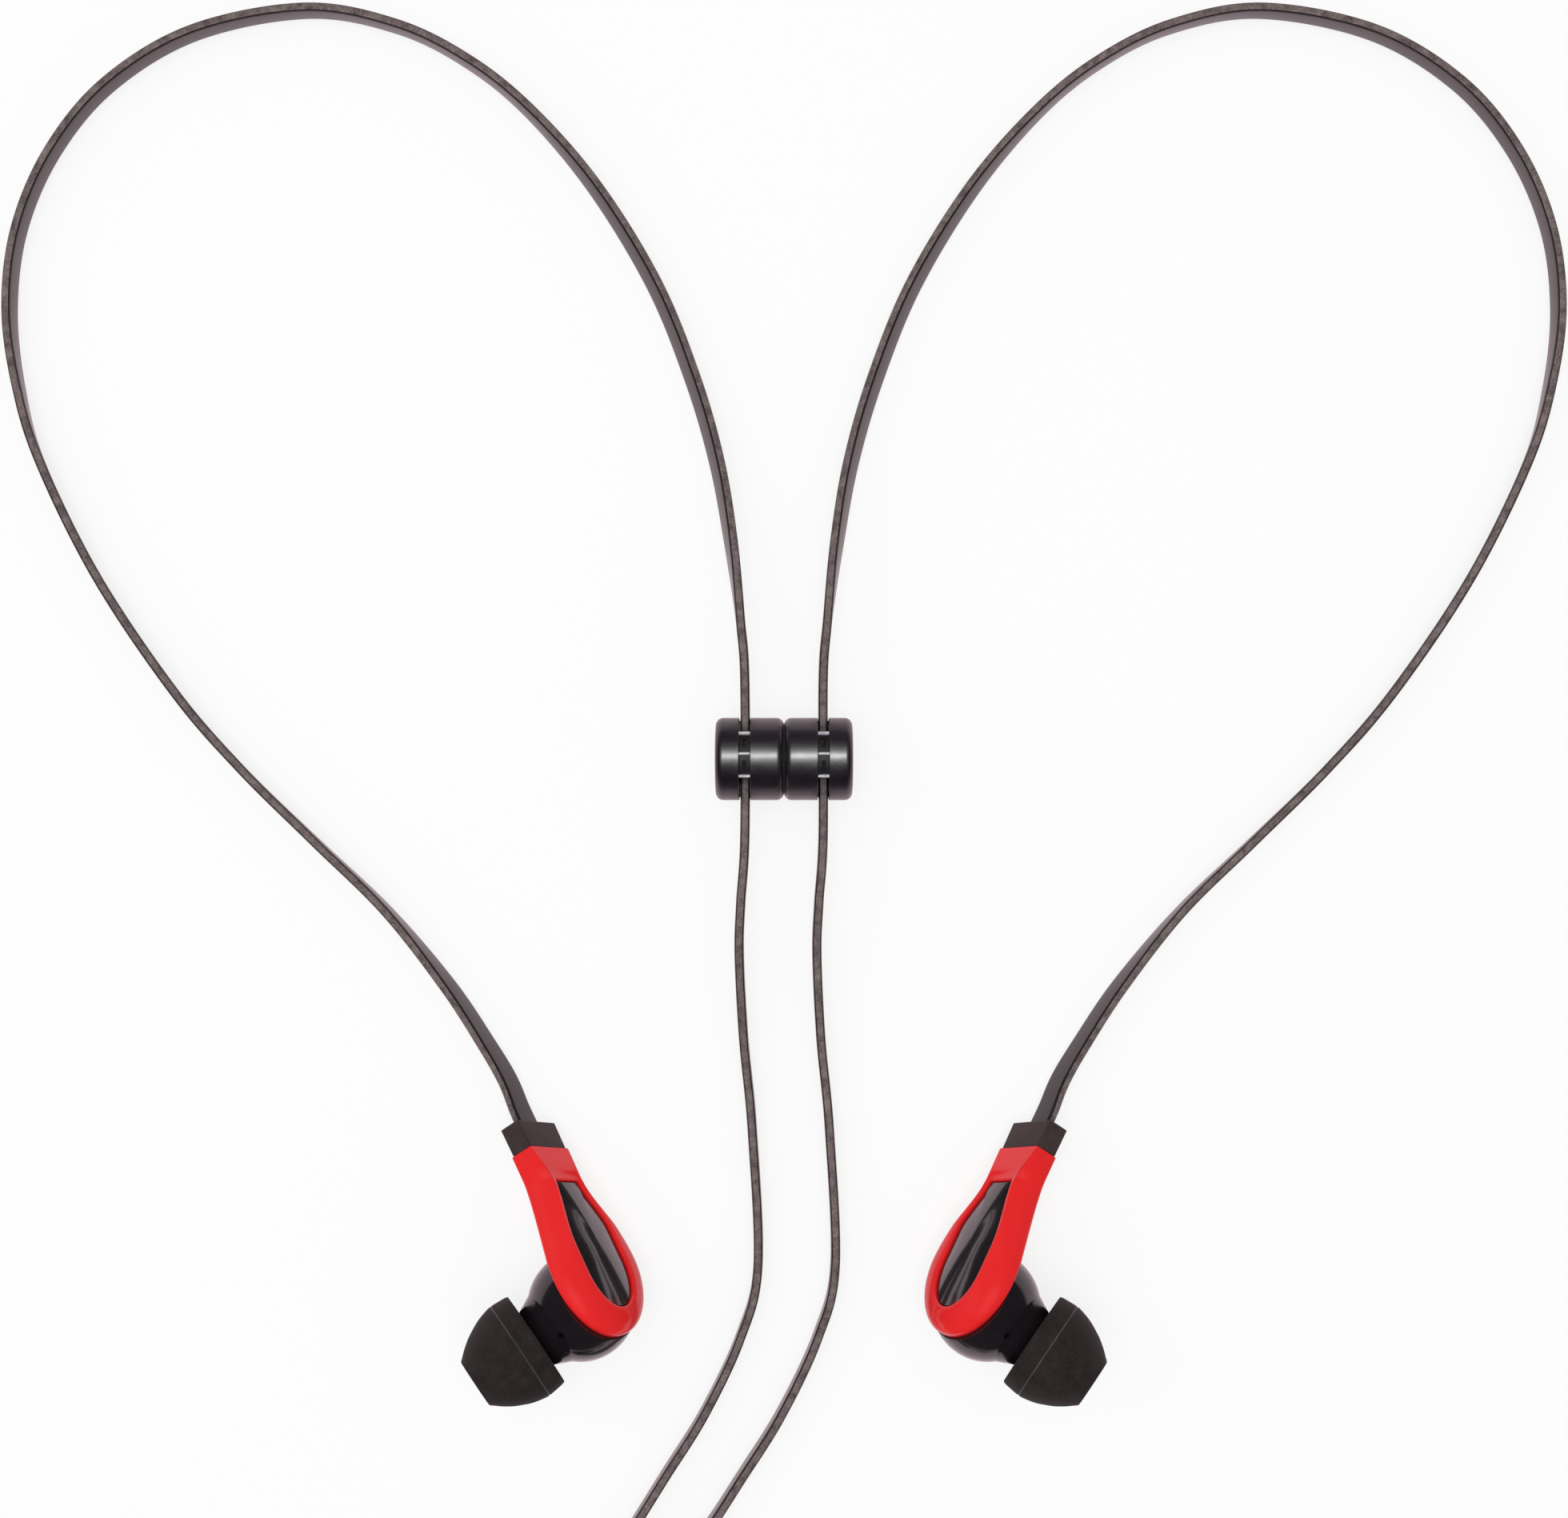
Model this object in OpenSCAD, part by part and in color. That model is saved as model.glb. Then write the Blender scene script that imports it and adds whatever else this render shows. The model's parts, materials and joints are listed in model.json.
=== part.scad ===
// Wired in-ear earphones: two earbuds on flat cords, each cord running through
// one half of a magnetic clasp, then a splitter, one lead and a 3.5 mm plug.
// Millimetres. Z is up and everything lies on z = 0. The origin is under the
// middle of the two earbuds, and the clasp lies further along +Y.

/* [Earbud shell] */
// Width of the flat stem
stem_w = 5.8; // [5:0.1:7]
// Distance from the head's centre to the top of the stem
stem_top = 17.2; // [16:0.1:19]
// Half width of the head
head_r = 5.9; // [5.6:0.1:7]
// Sideways offset of the head from the stem's middle line
head_shift = 0.3; // [0:0.1:1]
// Thickness of the shell at the stem
shell_t = 3.4; // [2.8:0.1:4]
// Thickness of the shell at the round end of the head
shell_toe_t = 2.3; // [1.8:0.1:2.8]
// Drop of the rounded rim beside the inlay
rim_drop = 1.3; // [0.6:0.1:1.6]
// Width of the shell's flat lip round the inlay
lip = 0.6; // [0.3:0.1:0.9]
// Slope of the cut across the stem's end
end_slope = -0.28; // [-0.4:0.05:0.2]

/* [Inlay] */
// Half width of the inlay at its straight end
inlay_top_hw = 1.6; // [1:0.1:2]
// Half width of the inlay at its widest
inlay_hw = 3.2; // [2.6:0.1:3.6]
// Sideways offset of the inlay from the stem's middle line
inlay_shift = 0.6; // [0:0.1:1]
// Distance from the head's centre to the inlay's straight end
inlay_top = 12.9; // [11.5:0.1:13.2]
// Distance from the head's centre to the inlay's round end
inlay_toe = 3; // [2.4:0.1:3.6]
// Depth of the inlay's recess
inlay_depth = 1.1; // [0.9:0.1:1.4]
// Height of the inlay's domed middle above its edge
inlay_dome = 0.5; // [0.2:0.1:0.8]

/* [Body and nozzle] */
// Radius of the ball-shaped body behind the shell
body_r = 6.4; // [6:0.1:7]
// Radius of the nozzle
nozzle_r = 2.6; // [2.3:0.1:2.8]
// Radius of the sound bore in the nozzle
nozzle_bore_r = 1.9; // [1.5:0.1:2]
// Distance from the body's centre to the nozzle's open end
nozzle_reach = 13.4; // [12:0.1:14]
// Radius of the round vent hole in the body
vent_r = 0.4; // [0.2:0.1:0.6]

/* [Ear tip] */
// Largest radius of the ear tip
tip_r = 6.1; // [5.5:0.1:7]
// Length of the ear tip
tip_l = 8.4; // [8:0.1:10]
// Wall thickness of the ear tip's skirt
tip_wall = 0.9; // [0.6:0.1:1.2]
// Gap between the ear tip's sleeve and the nozzle
tip_gap = 0.2; // [0.15:0.01:0.3]

/* [Strain relief and cord] */
// Length of the strain relief
relief_l = 3.5; // [3:0.1:5]
// Height of the flat cord as it stands on its edge
cord_h = 3; // [2.6:0.1:3.2]
// Thickness of the flat cord
cord_t = 1.1; // [0.9:0.05:1.2]

/* [Driver] */
// Radius of the driver's frame
driver_r = 4.3; // [4.2:0.05:4.4]
// Radius of the voice coil
coil_r = 2.1; // [2:0.05:2.15]
// Radius of the magnet inside the voice coil
magnet_r = 1.75; // [1.4:0.05:1.8]

/* [Clasp] */
// Radius of a clasp bead
bead_r = 4.85; // [4.5:0.05:5.2]
// Length of a clasp bead
bead_l = 8; // [7.6:0.1:9]
// Distance from the middle of the clasp to each cord
bead_cord_x = 4.6; // [4.4:0.1:5]
// Width of the cord's slot in a bead
bead_slot = 1.3; // [1.25:0.05:1.6]
// Radius on the edges of a bead
bead_edge = 0.9; // [0.3:0.1:1]
// Radius of a clasp magnet
clasp_magnet_r = 3.3; // [2.6:0.1:3.6]

/* [Splitter] */
// Length of the splitter
splitter_l = 14; // [12:0.5:18]
// Width of the splitter
splitter_w = 6; // [5.6:0.1:8]
// Height of the splitter
splitter_h = 4.6; // [4.4:0.1:6]

/* [Plug] */
// Length of the plug's grip
grip_l = 15; // [12:0.5:20]
// Radius of the plug's grip
grip_r = 3.2; // [3:0.1:4]
// Length of the plug's contact pin
pin_l = 14; // [13.5:0.1:15]
// Radius of the plug's contact pin
pin_r = 1.75; // [1.7:0.01:1.8]

/* [Hidden] */
$fn = 48;
fit = 0.1;          // clearance between parts that are glued or snapped together
touch = 0.02;       // each clasp bead's distance from the middle of the clasp
clasp_y = 58.7;      // the clasp's place along Y
bud_at = [-19.9, -1.8, 9.05];
bud_turn = 27.7;    // heading of the stem, from +Y towards -X
bud_dip = -14.5;    // dip of the stem towards the cord
bud_roll = 60;      // roll about the stem, face towards the middle
shell_back = -shell_t;

// --- small vector helpers -------------------------------------------------
function unit(v) = v / norm(v);
function mix(a, b, t) = a + (b - a) * t;
function clamp01(t) = max(0, min(1, t));
function ease(t) = let (u = clamp01(t)) u * u * (3 - 2 * u);

// --- shell outline, in the shell's own frame: Y to the stem, Z out of the face
side_n = 22;        // points down one side
toe_n = 14;         // points round half of the toe
head_y = 1.5;       // height of the head's widest place
neck_y = 14.5;      // height where the head has narrowed to the stem
shift_y = 13;       // height where the sideways offset starts
shift_l = 8;        // length over which it grows
crease_y = inlay_top + lip;
inlay_wide_y = 2;   // height of the inlay's widest place
taper_y = 5.5;      // height where the inlay starts to narrow
taper_l = 8;        // length over which it narrows

// half widths of the outer outline and of the inlay at height y
function outer_hw(y) = mix(head_r, stem_w / 2, ease((y - head_y) / (neck_y - head_y)));
function inlay_side(y) = mix(inlay_hw, inlay_top_hw, ease((y - taper_y) / taper_l));

// right-hand points [half width, height, sideways offset] from the top of the stem down to the toe
function toe_arc(wide_y, hw, low, shift) = [for (i = [1:toe_n]) let (a = 90 * i / toe_n)
    [hw * cos(a), wide_y - (wide_y + low) * sin(a), shift]];
function outer_right() = concat(
    [for (i = [0:side_n]) let (y = mix(stem_top, head_y, i / side_n))
        [outer_hw(y), y, head_shift * ease((shift_y - y) / shift_l)]],
    toe_arc(head_y, head_r, head_r, head_shift));
function rim_right() = concat(
    [for (i = [0:side_n])
        let (
            y = mix(stem_top, inlay_wide_y, i / side_n),
            up = clamp01((y - crease_y) / (stem_top - crease_y)))
        [mix(inlay_side(min(y, crease_y)) + lip, stem_w / 2, up), y, inlay_shift * (1 - up)]],
    toe_arc(inlay_wide_y, inlay_hw + lip, inlay_toe + lip, inlay_shift));
function inlay_right(gap) = concat(
    [for (i = [0:side_n]) let (y = mix(inlay_top - gap, inlay_wide_y, i / side_n))
        [inlay_side(y) - gap, y, inlay_shift]],
    toe_arc(inlay_wide_y, inlay_hw - gap, inlay_toe - gap, inlay_shift));

// both sides of an outline, sheared towards the cut of the stem's end
function lean(p) = let (x = p[0] + p[2]) [x, p[1] + end_slope * x * clamp01((p[1] - 6) / 6)];
function both_sides(right) = [for (p = concat(right,
    [for (i = [len(right) - 2:-1:0]) [-right[i][0], right[i][1], right[i][2]]])) lean(p)];

// a closed skin over rings that all hold the same number of points
module skin(rings) {
    n = len(rings[0]);
    points = [for (r = rings) for (p = r) p];
    walls = [for (k = [0:len(rings) - 2]) for (i = [0:n - 1]) for (f = [0, 1])
        let (a = k * n + i, b = k * n + (i + 1) % n)
        f == 0 ? [a, b, b + n] : [a, b + n, a + n]];
    lid = (len(rings) - 1) * n;
    strips = [for (i = [0:ceil(n / 2) - 2]) for (f = i + 1 < n - 2 - i ? [0, 1] : [0])
        f == 0 ? [i, i + 1, n - 1 - i] : [i + 1, n - 2 - i, n - 1 - i]];
    polyhedron(points, concat(walls,
        [for (t = strips) [t[2], t[1], t[0]]],
        [for (t = strips) t + [lid, lid, lid]]));
}

// back of the shell: level under the stem, rising towards the toe
back_y = 5.5;       // height where the back starts to rise
back_slope = (shell_t - shell_toe_t) / (back_y + head_r);
function back_z(y) = shell_back + back_slope * max(0, back_y - y);
function rim_rise(y) = mix(0.12, rim_drop, ease((stem_top - y) / 7));

// The right side rolls off softly. The left side leaves the lip at an edge and curves down to the back.
function edge_share(i) = ease((i - side_n) / (2 * toe_n));

module shell_blank() {
    outer = both_sides(outer_right());
    rim = both_sides(rim_right());
    steps = 6;
    skin(concat(
        [[for (p = outer) [p[0], p[1], back_z(p[1])]]],
        [for (k = [0:steps]) let (u = 1 - k / steps) [for (i = [0:len(outer) - 1])
            let (
                o = outer[i],
                share = edge_share(i),
                thick = -back_z(o[1]),
                low = mix(rim_rise(o[1]), 0.9 * thick, share),
                p = mix(rim[i], o, u * (2 - u)))
            [p[0], p[1], -u * (1 - u) * share * thick - u * u * low]]]));
}

module shell_side() {
    difference() {
        shell_blank();
        translate([0, 0, -inlay_depth]) linear_extrude(inlay_depth + 1)
            polygon(both_sides(inlay_right(-fit)));
        on_driver(shell_back - 1) cylinder(r = spigot_r + fit, h = 1 + shell_t - inlay_depth - floor_t);
        translate([0, 3, shell_back / 2 - 0.5]) rotate([-90, 0, 0])
            cylinder(r = wire_bore_r, h = stem_top);
    }
}

module inlay_side_piece() {
    edge_z = -0.35;
    middle = [inlay_shift, 4.5];
    edge = both_sides(inlay_right(fit));
    rings = 5;
    skin(concat(
        [[for (p = edge) [p[0], p[1], -inlay_depth]]],
        [for (k = [0:rings]) let (s = 1 - 0.94 * k / rings) [for (p = edge)
            let (q = mix(middle, p, s)) [q[0], q[1], edge_z + inlay_dome * (1 - s * s)]]]));
}

// --- body: a ball cut by the sloping back of the shell, with its nozzle ----
body_at = [0, -0.6, -5.6];
nozzle_tilt = 135.4;
nozzle_heading = -166.3;
collar_r = 4.7;     // radius of the collar's foot, inside the ball
collar_top_r = 3.4;
collar_low = 4.2;
collar_l = 2.6;
vent_heading = -159;
vent_tilt = 86;

module on_nozzle() {
    translate(body_at) rotate([0, 0, nozzle_heading]) rotate([0, nozzle_tilt, 0]) children();
}

module above_body(gap) {
    translate([0, back_y, shell_back - gap]) rotate([-atan(back_slope), 0, 0])
        translate([-2 * body_r, -4 * body_r, 0]) cube([4 * body_r, 8 * body_r, 4 * body_r]);
}

driver_at = [head_shift, -0.2];     // the driver's axis, in line with the head
cavity_r = driver_r + 0.2;
ledge_w = 0.9;      // width of the ledge that the driver sits on
cavity_z = -6.6;    // height of that ledge
spigot_r = cavity_r + 0.3;
floor_t = 0.5;      // shell's floor under the inlay
wire_bore_r = 0.8;  // passage for the wires through the stem

module body_side() {
    difference() {
        union() {
            difference() {
                translate(body_at) sphere(body_r, $fn = 64);
                above_body(0);
            }
            on_driver(shell_back - 1) cylinder(r = spigot_r, h = 1.8);
            on_nozzle() {
                translate([0, 0, collar_low]) cylinder(r1 = collar_r, r2 = collar_top_r, h = collar_l);
                cylinder(r = nozzle_r, h = nozzle_reach);
                translate([0, 0, nozzle_reach - 1.8]) cylinder(r = nozzle_r + 0.1, h = 0.9);
            }
        }
        on_driver(cavity_z) cylinder(r = cavity_r, h = 8);
        on_driver(cavity_z - 1.6) cylinder(r = cavity_r - ledge_w, h = 2);
        on_nozzle() translate([0, 0, 1.5]) cylinder(r = nozzle_bore_r, h = nozzle_reach);
        on_nozzle() translate([0, 0, nozzle_reach - 0.5]) cylinder(r = nozzle_bore_r + 0.3, h = 1);
        translate(body_at) rotate([0, 0, vent_heading]) rotate([0, vent_tilt, 0])
            cylinder(r = vent_r, h = 2 * body_r);
    }
}

module mesh_side() {
    on_nozzle() translate([0, 0, nozzle_reach - 0.5])
        difference() {
            cylinder(r = nozzle_bore_r + 0.2, h = 0.3);
            for (ring = [0:2]) for (i = [0:max(0, ring * 6 - 1)])
                rotate([0, 0, ring == 0 ? 0 : i * 60 / ring])
                    translate([ring * 0.62, 0, -1]) cylinder(r = 0.2, h = 3, $fn = 16);
        }
}

// --- driver, on the body's own axis: +Z faces the shell ---------------------
module on_driver(z = cavity_z) {
    translate([driver_at[0], driver_at[1], z]) children();
}

frame_h = 2.9;
yoke_r = coil_r + 1.1;
coil_t = 0.16;
gap_in = 0.3;       // air between the magnet's cup and the voice coil
diaphragm_r = driver_r - 1.1;

module frame_side() {
    on_driver() difference() {
        cylinder(r = driver_r, h = frame_h);
        translate([0, 0, -1]) cylinder(r = driver_r - ledge_w, h = 2);
        translate([0, 0, -1]) cylinder(r = yoke_r + 0.05, h = 5);
    }
}

module magnet_side() {
    on_driver() difference() {
        translate([0, 0, 0.9]) cylinder(r = yoke_r, h = frame_h - 0.9);
        difference() {
            cylinder(r = coil_r + coil_t + gap_in, h = 2.3);
            translate([0, 0, 1]) cylinder(r = magnet_r, h = 2);
        }
    }
}

module diaphragm_side() {
    on_driver() translate([0, 0, -0.45]) {
        cylinder(r = diaphragm_r, h = 0.2);
        difference() {
            cylinder(r = coil_r + coil_t, h = 0.5);
            translate([0, 0, 0.2]) cylinder(r = coil_r - 0.5, h = 1);
        }
    }
}

module voice_coil_side() {
    on_driver() translate([0, 0, 0.05]) difference() {
        cylinder(r = coil_r + coil_t, h = 1.6);
        translate([0, 0, -1]) cylinder(r = coil_r, h = 4);
    }
}

module board_side() {
    on_driver() translate([-1.5, -1.25, frame_h]) cube([3, 2.5, 0.4]);
}

// --- strain relief on the stem's end -----------------------------------------
module relief_side() {
    wide = stem_w / 2 - 0.1;
    wider = stem_w / 2 + 0.1;
    foot = shell_t / 2 - 0.1;
    head = foot - 0.1;
    mid = shell_back / 2;
    y0 = stem_top;
    y1 = stem_top + relief_l;
    skin([
        [for (c = [[wide, 1], [-wide, 1], [-wide, -1], [wide, -1]])
            [c[0], y0 + end_slope * c[0], mid + foot * c[1]]],
        [for (c = [[wider, 1], [-wider, 1], [-wider, -1], [wider, -1]])
            [c[0], y1 + end_slope * c[0], mid + head * c[1]]]]);
}

// --- ear tip -------------------------------------------------------------------
tip_start = body_r + 0.1;

module tip_side() {
    r = tip_r;
    w = tip_wall;
    hole = nozzle_r + 0.1 + tip_gap;
    on_nozzle() translate([0, 0, tip_start]) rotate_extrude($fn = 72) polygon([
        [r * 0.96, 0], [r * 0.985, tip_l * 0.11], [r, tip_l * 0.26], [r * 0.95, tip_l * 0.45],
        [r * 0.84, tip_l * 0.64], [r * 0.7, tip_l * 0.81], [r * 0.54, tip_l * 0.95], [r * 0.47, tip_l],
        [hole - 1, tip_l], [hole - 1, tip_l - 0.7], [hole, tip_l - 0.9], [hole, 0.5],
        [hole + w * 0.7, 0.5], [hole + w * 0.7, tip_l * 0.72], [r * 0.66, tip_l * 0.66],
        [r * 0.84 - w, tip_l * 0.5], [r - w, tip_l * 0.26],
        [r * 0.985 - w, tip_l * 0.11], [r * 0.96 - w * 0.8, 0]]);
}

// --- placing an earbud and its mirror image ---------------------------------------
module in_bud(side) {
    mirror([side > 0 ? 1 : 0, 0, 0]) translate(bud_at)
        rotate([0, 0, bud_turn]) rotate([bud_dip, 0, 0]) rotate([0, bud_roll, 0]) children();
}

// --- clasp beads: the left one runs from x = -touch to -bead_l ---------------------
clip_roll = 8;
clip_step = 34;
clip_bar = 5;       // angle of one bar
clip_inner = bead_r - 0.75;
clip_plate = 0.25;  // thickness of the plate between the bars
clip_bar_t = 0.6;   // thickness of the bars
clip_rail = 0.42;   // width of the plate beside its windows
slot_gap = 0.2;     // room under the cord in its slot
magnet_l = 1.8;
cap_l = 0.6;

module in_bead(side) {
    mirror([side > 0 ? 1 : 0, 0, 0]) translate([-touch, clasp_y, bead_r]) rotate([0, -90, 0]) children();
}

module bead_shell_side() {
    r = bead_r;
    e = bead_edge;
    slot_z = bead_cord_x - touch;
    difference() {
        rotate_extrude($fn = 96) polygon(concat(
            [[0, 0], [r - e, 0]],
            [for (a = [15:15:75]) [r - e + e * sin(a), e - e * cos(a)]],
            [[r, e], [r, bead_l - e]],
            [for (a = [15:15:75]) [r - e + e * cos(a), bead_l - e + e * sin(a)]],
            [[r - e, bead_l], [0, bead_l]]));
        translate([0, 0, -1]) cylinder(r = clasp_magnet_r + fit, h = 1 + cap_l + magnet_l + fit);
        translate([-cord_h / 2 - slot_gap, -2 * r, slot_z - bead_slot / 2]) cube([4 * r, 4 * r, bead_slot]);
    }
}

module bead_magnet_side() {
    translate([0, 0, cap_l]) cylinder(r = clasp_magnet_r, h = magnet_l);
}

module bead_cap_side() {
    difference() {
        cylinder(r = clasp_magnet_r, h = cap_l - 0.05);
        translate([0, 0, -0.9]) cylinder(r = clasp_magnet_r - 0.7, h = 1);
    }
}

// a ladder of three bars that holds the cord in its slot
module clip_arc(from, angle, inner, deep, low, across) {
    rotate([0, 0, from]) translate([0, 0, low]) rotate_extrude(angle = angle)
        translate([inner, 0]) square([deep, across]);
}

module bead_clip_side() {
    gap = clip_step - clip_bar;
    window = gap - 3 * clip_bar;
    translate([0, 0, bead_cord_x - touch - bead_slot / 2])
        rotate([0, 0, clip_roll - clip_step - clip_bar / 2]) difference() {
            clip_arc(0, 2 * clip_step + clip_bar, clip_inner, clip_bar_t, 0, bead_slot);
            for (k = [0, 1]) rotate([0, 0, clip_bar + k * clip_step]) {
                clip_arc(0, gap, clip_inner + clip_plate, 2, -1, bead_slot + 2);
                clip_arc((gap - window) / 2, window, clip_inner - 1, 2,
                    clip_rail, bead_slot - 2 * clip_rail);
            }
        }
}

// --- cords -----------------------------------------------------------------------------
// Route points are [x, y, z, twist]. The twist turns the flat cord off its edge.
loop_route = [
    [-32.9, 20.4, 2.1, 26], [-35.3, 24.4, 1.8, 20], [-40.1, 31.6, 1.6, 14], [-47.4, 40.5, 1.54, -1],
    [-56, 48.8, 1.54, -7], [-64.8, 57.4, 1.54, -11], [-72.7, 66.5, 1.54, -13],
    [-81.9, 80.1, 1.54, -14], [-88.7, 93.8, 1.54, -15], [-91.4, 103.1, 1.53, -7],
    [-92.5, 112.6, 1.5, 0], [-91.3, 122.2, 1.5, 0], [-87.3, 131.4, 1.5, 0], [-80.6, 139.4, 1.5, 0],
    [-70.4, 145.5, 1.5, 0], [-57, 148.1, 1.5, 0], [-46.2, 146.2, 1.5, 0], [-37.7, 142, 1.51, 3],
    [-30.4, 136.1, 1.53, 8], [-22.6, 127, 1.54, 18], [-15.5, 115.4, 1.56, 23], [-10.9, 104.1, 1.6, 24],
    [-8, 94.1, 2.2, 22], [-6.3, 84.5, 3.4, 16], [-5.1, 74.7, 4.6, 1]];
clasp_route = [[-4.6, 67.7, 4.85, 0], [-4.6, 49.7, 4.85, 0]];
lower_route = [
    [-5.1, 41.7, 4.2, 0], [-5.3, 35.5, 3.1, 0], [-4.8, 25.3, 1.7, 0], [-3.8, 14.7, 1.5, 0],
    [-3.1, -1.7, 1.5, 0], [-5.2, -10.3, 1.5, 0], [-9.5, -19.4, 1.5, 0], [-14.2, -26.9, 1.5, 0]];
left_end_route = [[-18.6, -34, 1.6, 0], [-22.3, -40.2, 2, 0]];
right_end_route = [[-9.6, -33.8, 1.6, 0], [-15, -39.9, 1.9, 0], [-19.9, -43.8, 2.2, 0]];
right_shift = 9.2;

splitter_at = [-25, -46.7, splitter_h / 2];
splitter_turn = -30;
splitter_way = [sin(splitter_turn), -cos(splitter_turn)];
splitter_side = [cos(splitter_turn), sin(splitter_turn)];
function by_splitter(along, across) = concat(
    [splitter_at[0], splitter_at[1]] + splitter_way * along + splitter_side * across, [splitter_at[2], 0]);

function bud_point(p) = let (
    a = [p[0] * cos(bud_roll) + p[2] * sin(bud_roll), p[1], p[2] * cos(bud_roll) - p[0] * sin(bud_roll)],
    b = [a[0], a[1] * cos(bud_dip) - a[2] * sin(bud_dip), a[1] * sin(bud_dip) + a[2] * cos(bud_dip)])
    bud_at + [b[0] * cos(bud_turn) - b[1] * sin(bud_turn),
        b[0] * sin(bud_turn) + b[1] * cos(bud_turn), b[2]];
cord_start = bud_point([0, stem_top + relief_l, shell_back / 2]);
cord_second = bud_point([0, stem_top + relief_l + 2.4, shell_back / 2]);
start_route = [concat(cord_start, [30]), concat(cord_second, [30])];

function flip(route) = [for (p = route) [-p[0], p[1], p[2], -p[3]]];
function shifted(route) = [for (p = route) [p[0] + right_shift, p[1], p[2], p[3]]];
left_route = concat(start_route, loop_route, clasp_route, lower_route, left_end_route,
    [by_splitter(-0.9, -0.9), by_splitter(0, -0.9)]);
right_route = concat(flip(concat(start_route, loop_route, clasp_route)),
    shifted(lower_route), right_end_route,
    [by_splitter(-0.9, 0.9), by_splitter(0, 0.9)]);

// cross-sections of the flat cord: [across, up]
cord_section = [
    [0.28, 0.5], [0.5, 0.36], [0.5, -0.36], [0.28, -0.5],
    [-0.28, -0.5], [-0.5, -0.36], [-0.5, 0.36], [-0.28, 0.5]];
coil_section = [[0, 0.5], [0.5, 0.36], [0.5, -0.36], [0, -0.5], [-0.5, -0.36], [-0.5, 0.36]];

function at(p) = [p[0], p[1], p[2]];
function heading(route, i) = unit(at(route[min(i + 1, len(route) - 1)]) - at(route[max(i - 1, 0)]));
module sweep(route, section) {
    skin([for (i = [0:len(route) - 1])
        let (
            t = heading(route, i),
            across = unit(cross(t, [0, 0, 1])),
            up = cross(across, t),
            c = cos(route[i][3]),
            s = sin(route[i][3]))
        [for (q = section) let (x = q[0] * cord_t, y = q[1] * cord_h)
            at(route[i]) + across * (x * c - y * s) + up * (x * s + y * c)]]);
}

// --- splitter: two half covers round the joined cords ---------------------------------
module in_splitter() {
    translate([splitter_at[0], splitter_at[1], 0]) rotate([0, 0, splitter_turn + 180]) children();
}

module splitter_outline(inset) {
    r = splitter_w / 2 - inset;
    taper = 1.6;
    polygon(concat(
        [[r, inset], [r, splitter_l * 0.5]],
        [[taper, splitter_l - inset], [-taper, splitter_l - inset]],
        [[-r, splitter_l * 0.5], [-r, inset]]));
}

module splitter_base() {
    difference() {
        linear_extrude(splitter_h / 2) splitter_outline(0);
        translate([0, 0, 0.8]) linear_extrude(splitter_h) splitter_outline(0.8);
    }
}

module splitter_cover() {
    difference() {
        translate([0, 0, splitter_h / 2]) linear_extrude(splitter_h / 2) splitter_outline(0);
        translate([0, 0, splitter_h / 2 - 1]) linear_extrude(splitter_h / 2 + 0.2) splitter_outline(0.8);
    }
}

module splitter_joint() {
    translate([-1.2, 3, 0.8]) cube([2.4, 3.5, 0.6]);
}

// --- the lead: a straight run, a tied round coil of two layers and a tail to the plug ------
lead_run = 14;              // from the splitter to where the coil starts
coil_r0 = 18.6;             // radius where the lead joins the coil
coil_pitch = 1.62;
coil_low_z = 2.3;
coil_rise = 3.46;
coil_turns = 22 / 3;        // turns in both layers together
step_n = 24;                // rings in one turn
coil_start = by_splitter(splitter_l + lead_run, 0);
coil_at = [for (k = [0, 1]) coil_start[k] + coil_r0 * splitter_side[k]];
coil_angle0 = splitter_turn + 180;

// turns wound inwards so far: in on the lower layer, a dip inside while it climbs, out on the upper
function wound(u) = u < 3.25 ? u
    : u < 3.5 ? mix(3.25, 4.45, ease((u - 3.25) * 4))
    : u < 4 ? 4.45
    : u < 4.25 ? mix(4.45, 3.75, ease((u - 4) * 4))
    : 8 - u;
function climbed(u) = coil_low_z + coil_rise * ease((u - 3.5) * 2);
function coil_point(u) = let (r = coil_r0 - coil_pitch * wound(u), a = coil_angle0 + 360 * u)
    [coil_at[0] + r * cos(a), coil_at[1] + r * sin(a), climbed(u), 0];
coil_rings = [for (i = [0:coil_turns * step_n]) coil_point(i / step_n)];
coil_end = coil_rings[len(coil_rings) - 1];
coil_route = concat([by_splitter(splitter_l + lead_run - cord_h, 0)], coil_rings,
    [coil_end + [cord_h, 0, 0, 0]]);
// least gap between two turns at the same angle
turn_gaps = [for (i = [0:len(coil_rings) - 1]) for (j = [i + step_n:step_n:len(coil_rings) - 1])
    let (p = coil_rings[i], q = coil_rings[j], flat = norm([p[0] - q[0], p[1] - q[1]]))
    max(flat - cord_t, abs(p[2] - q[2]) - cord_h)];
echo(least_coil_gap = min(turn_gaps));

boot_l = 7;
plug_at = [6, coil_end[1], grip_r + 0.1];
lead_route = [by_splitter(splitter_l, 0), by_splitter(splitter_l + 4, 0),
    by_splitter(splitter_l + lead_run - cord_h, 0)];
tail_route = [coil_end + [cord_h, 0, 0, 0], [-13, plug_at[1], 5.2, 0], [-6, plug_at[1], 4.1, 0],
    [1, plug_at[1], plug_at[2], 0], [plug_at[0], plug_at[1], plug_at[2], 0]];

function run_length(route, i = 1) = i >= len(route) ? 0
    : norm(at(route[i]) - at(route[i - 1])) + run_length(route, i + 1);
echo(left_cord = run_length(left_route), right_cord = run_length(right_route));
echo(main_lead = run_length(lead_route) + run_length(coil_route) + run_length(tail_route));

tie_angle = 240;
tie_w = 4;
tie_t = 0.6;

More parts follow.
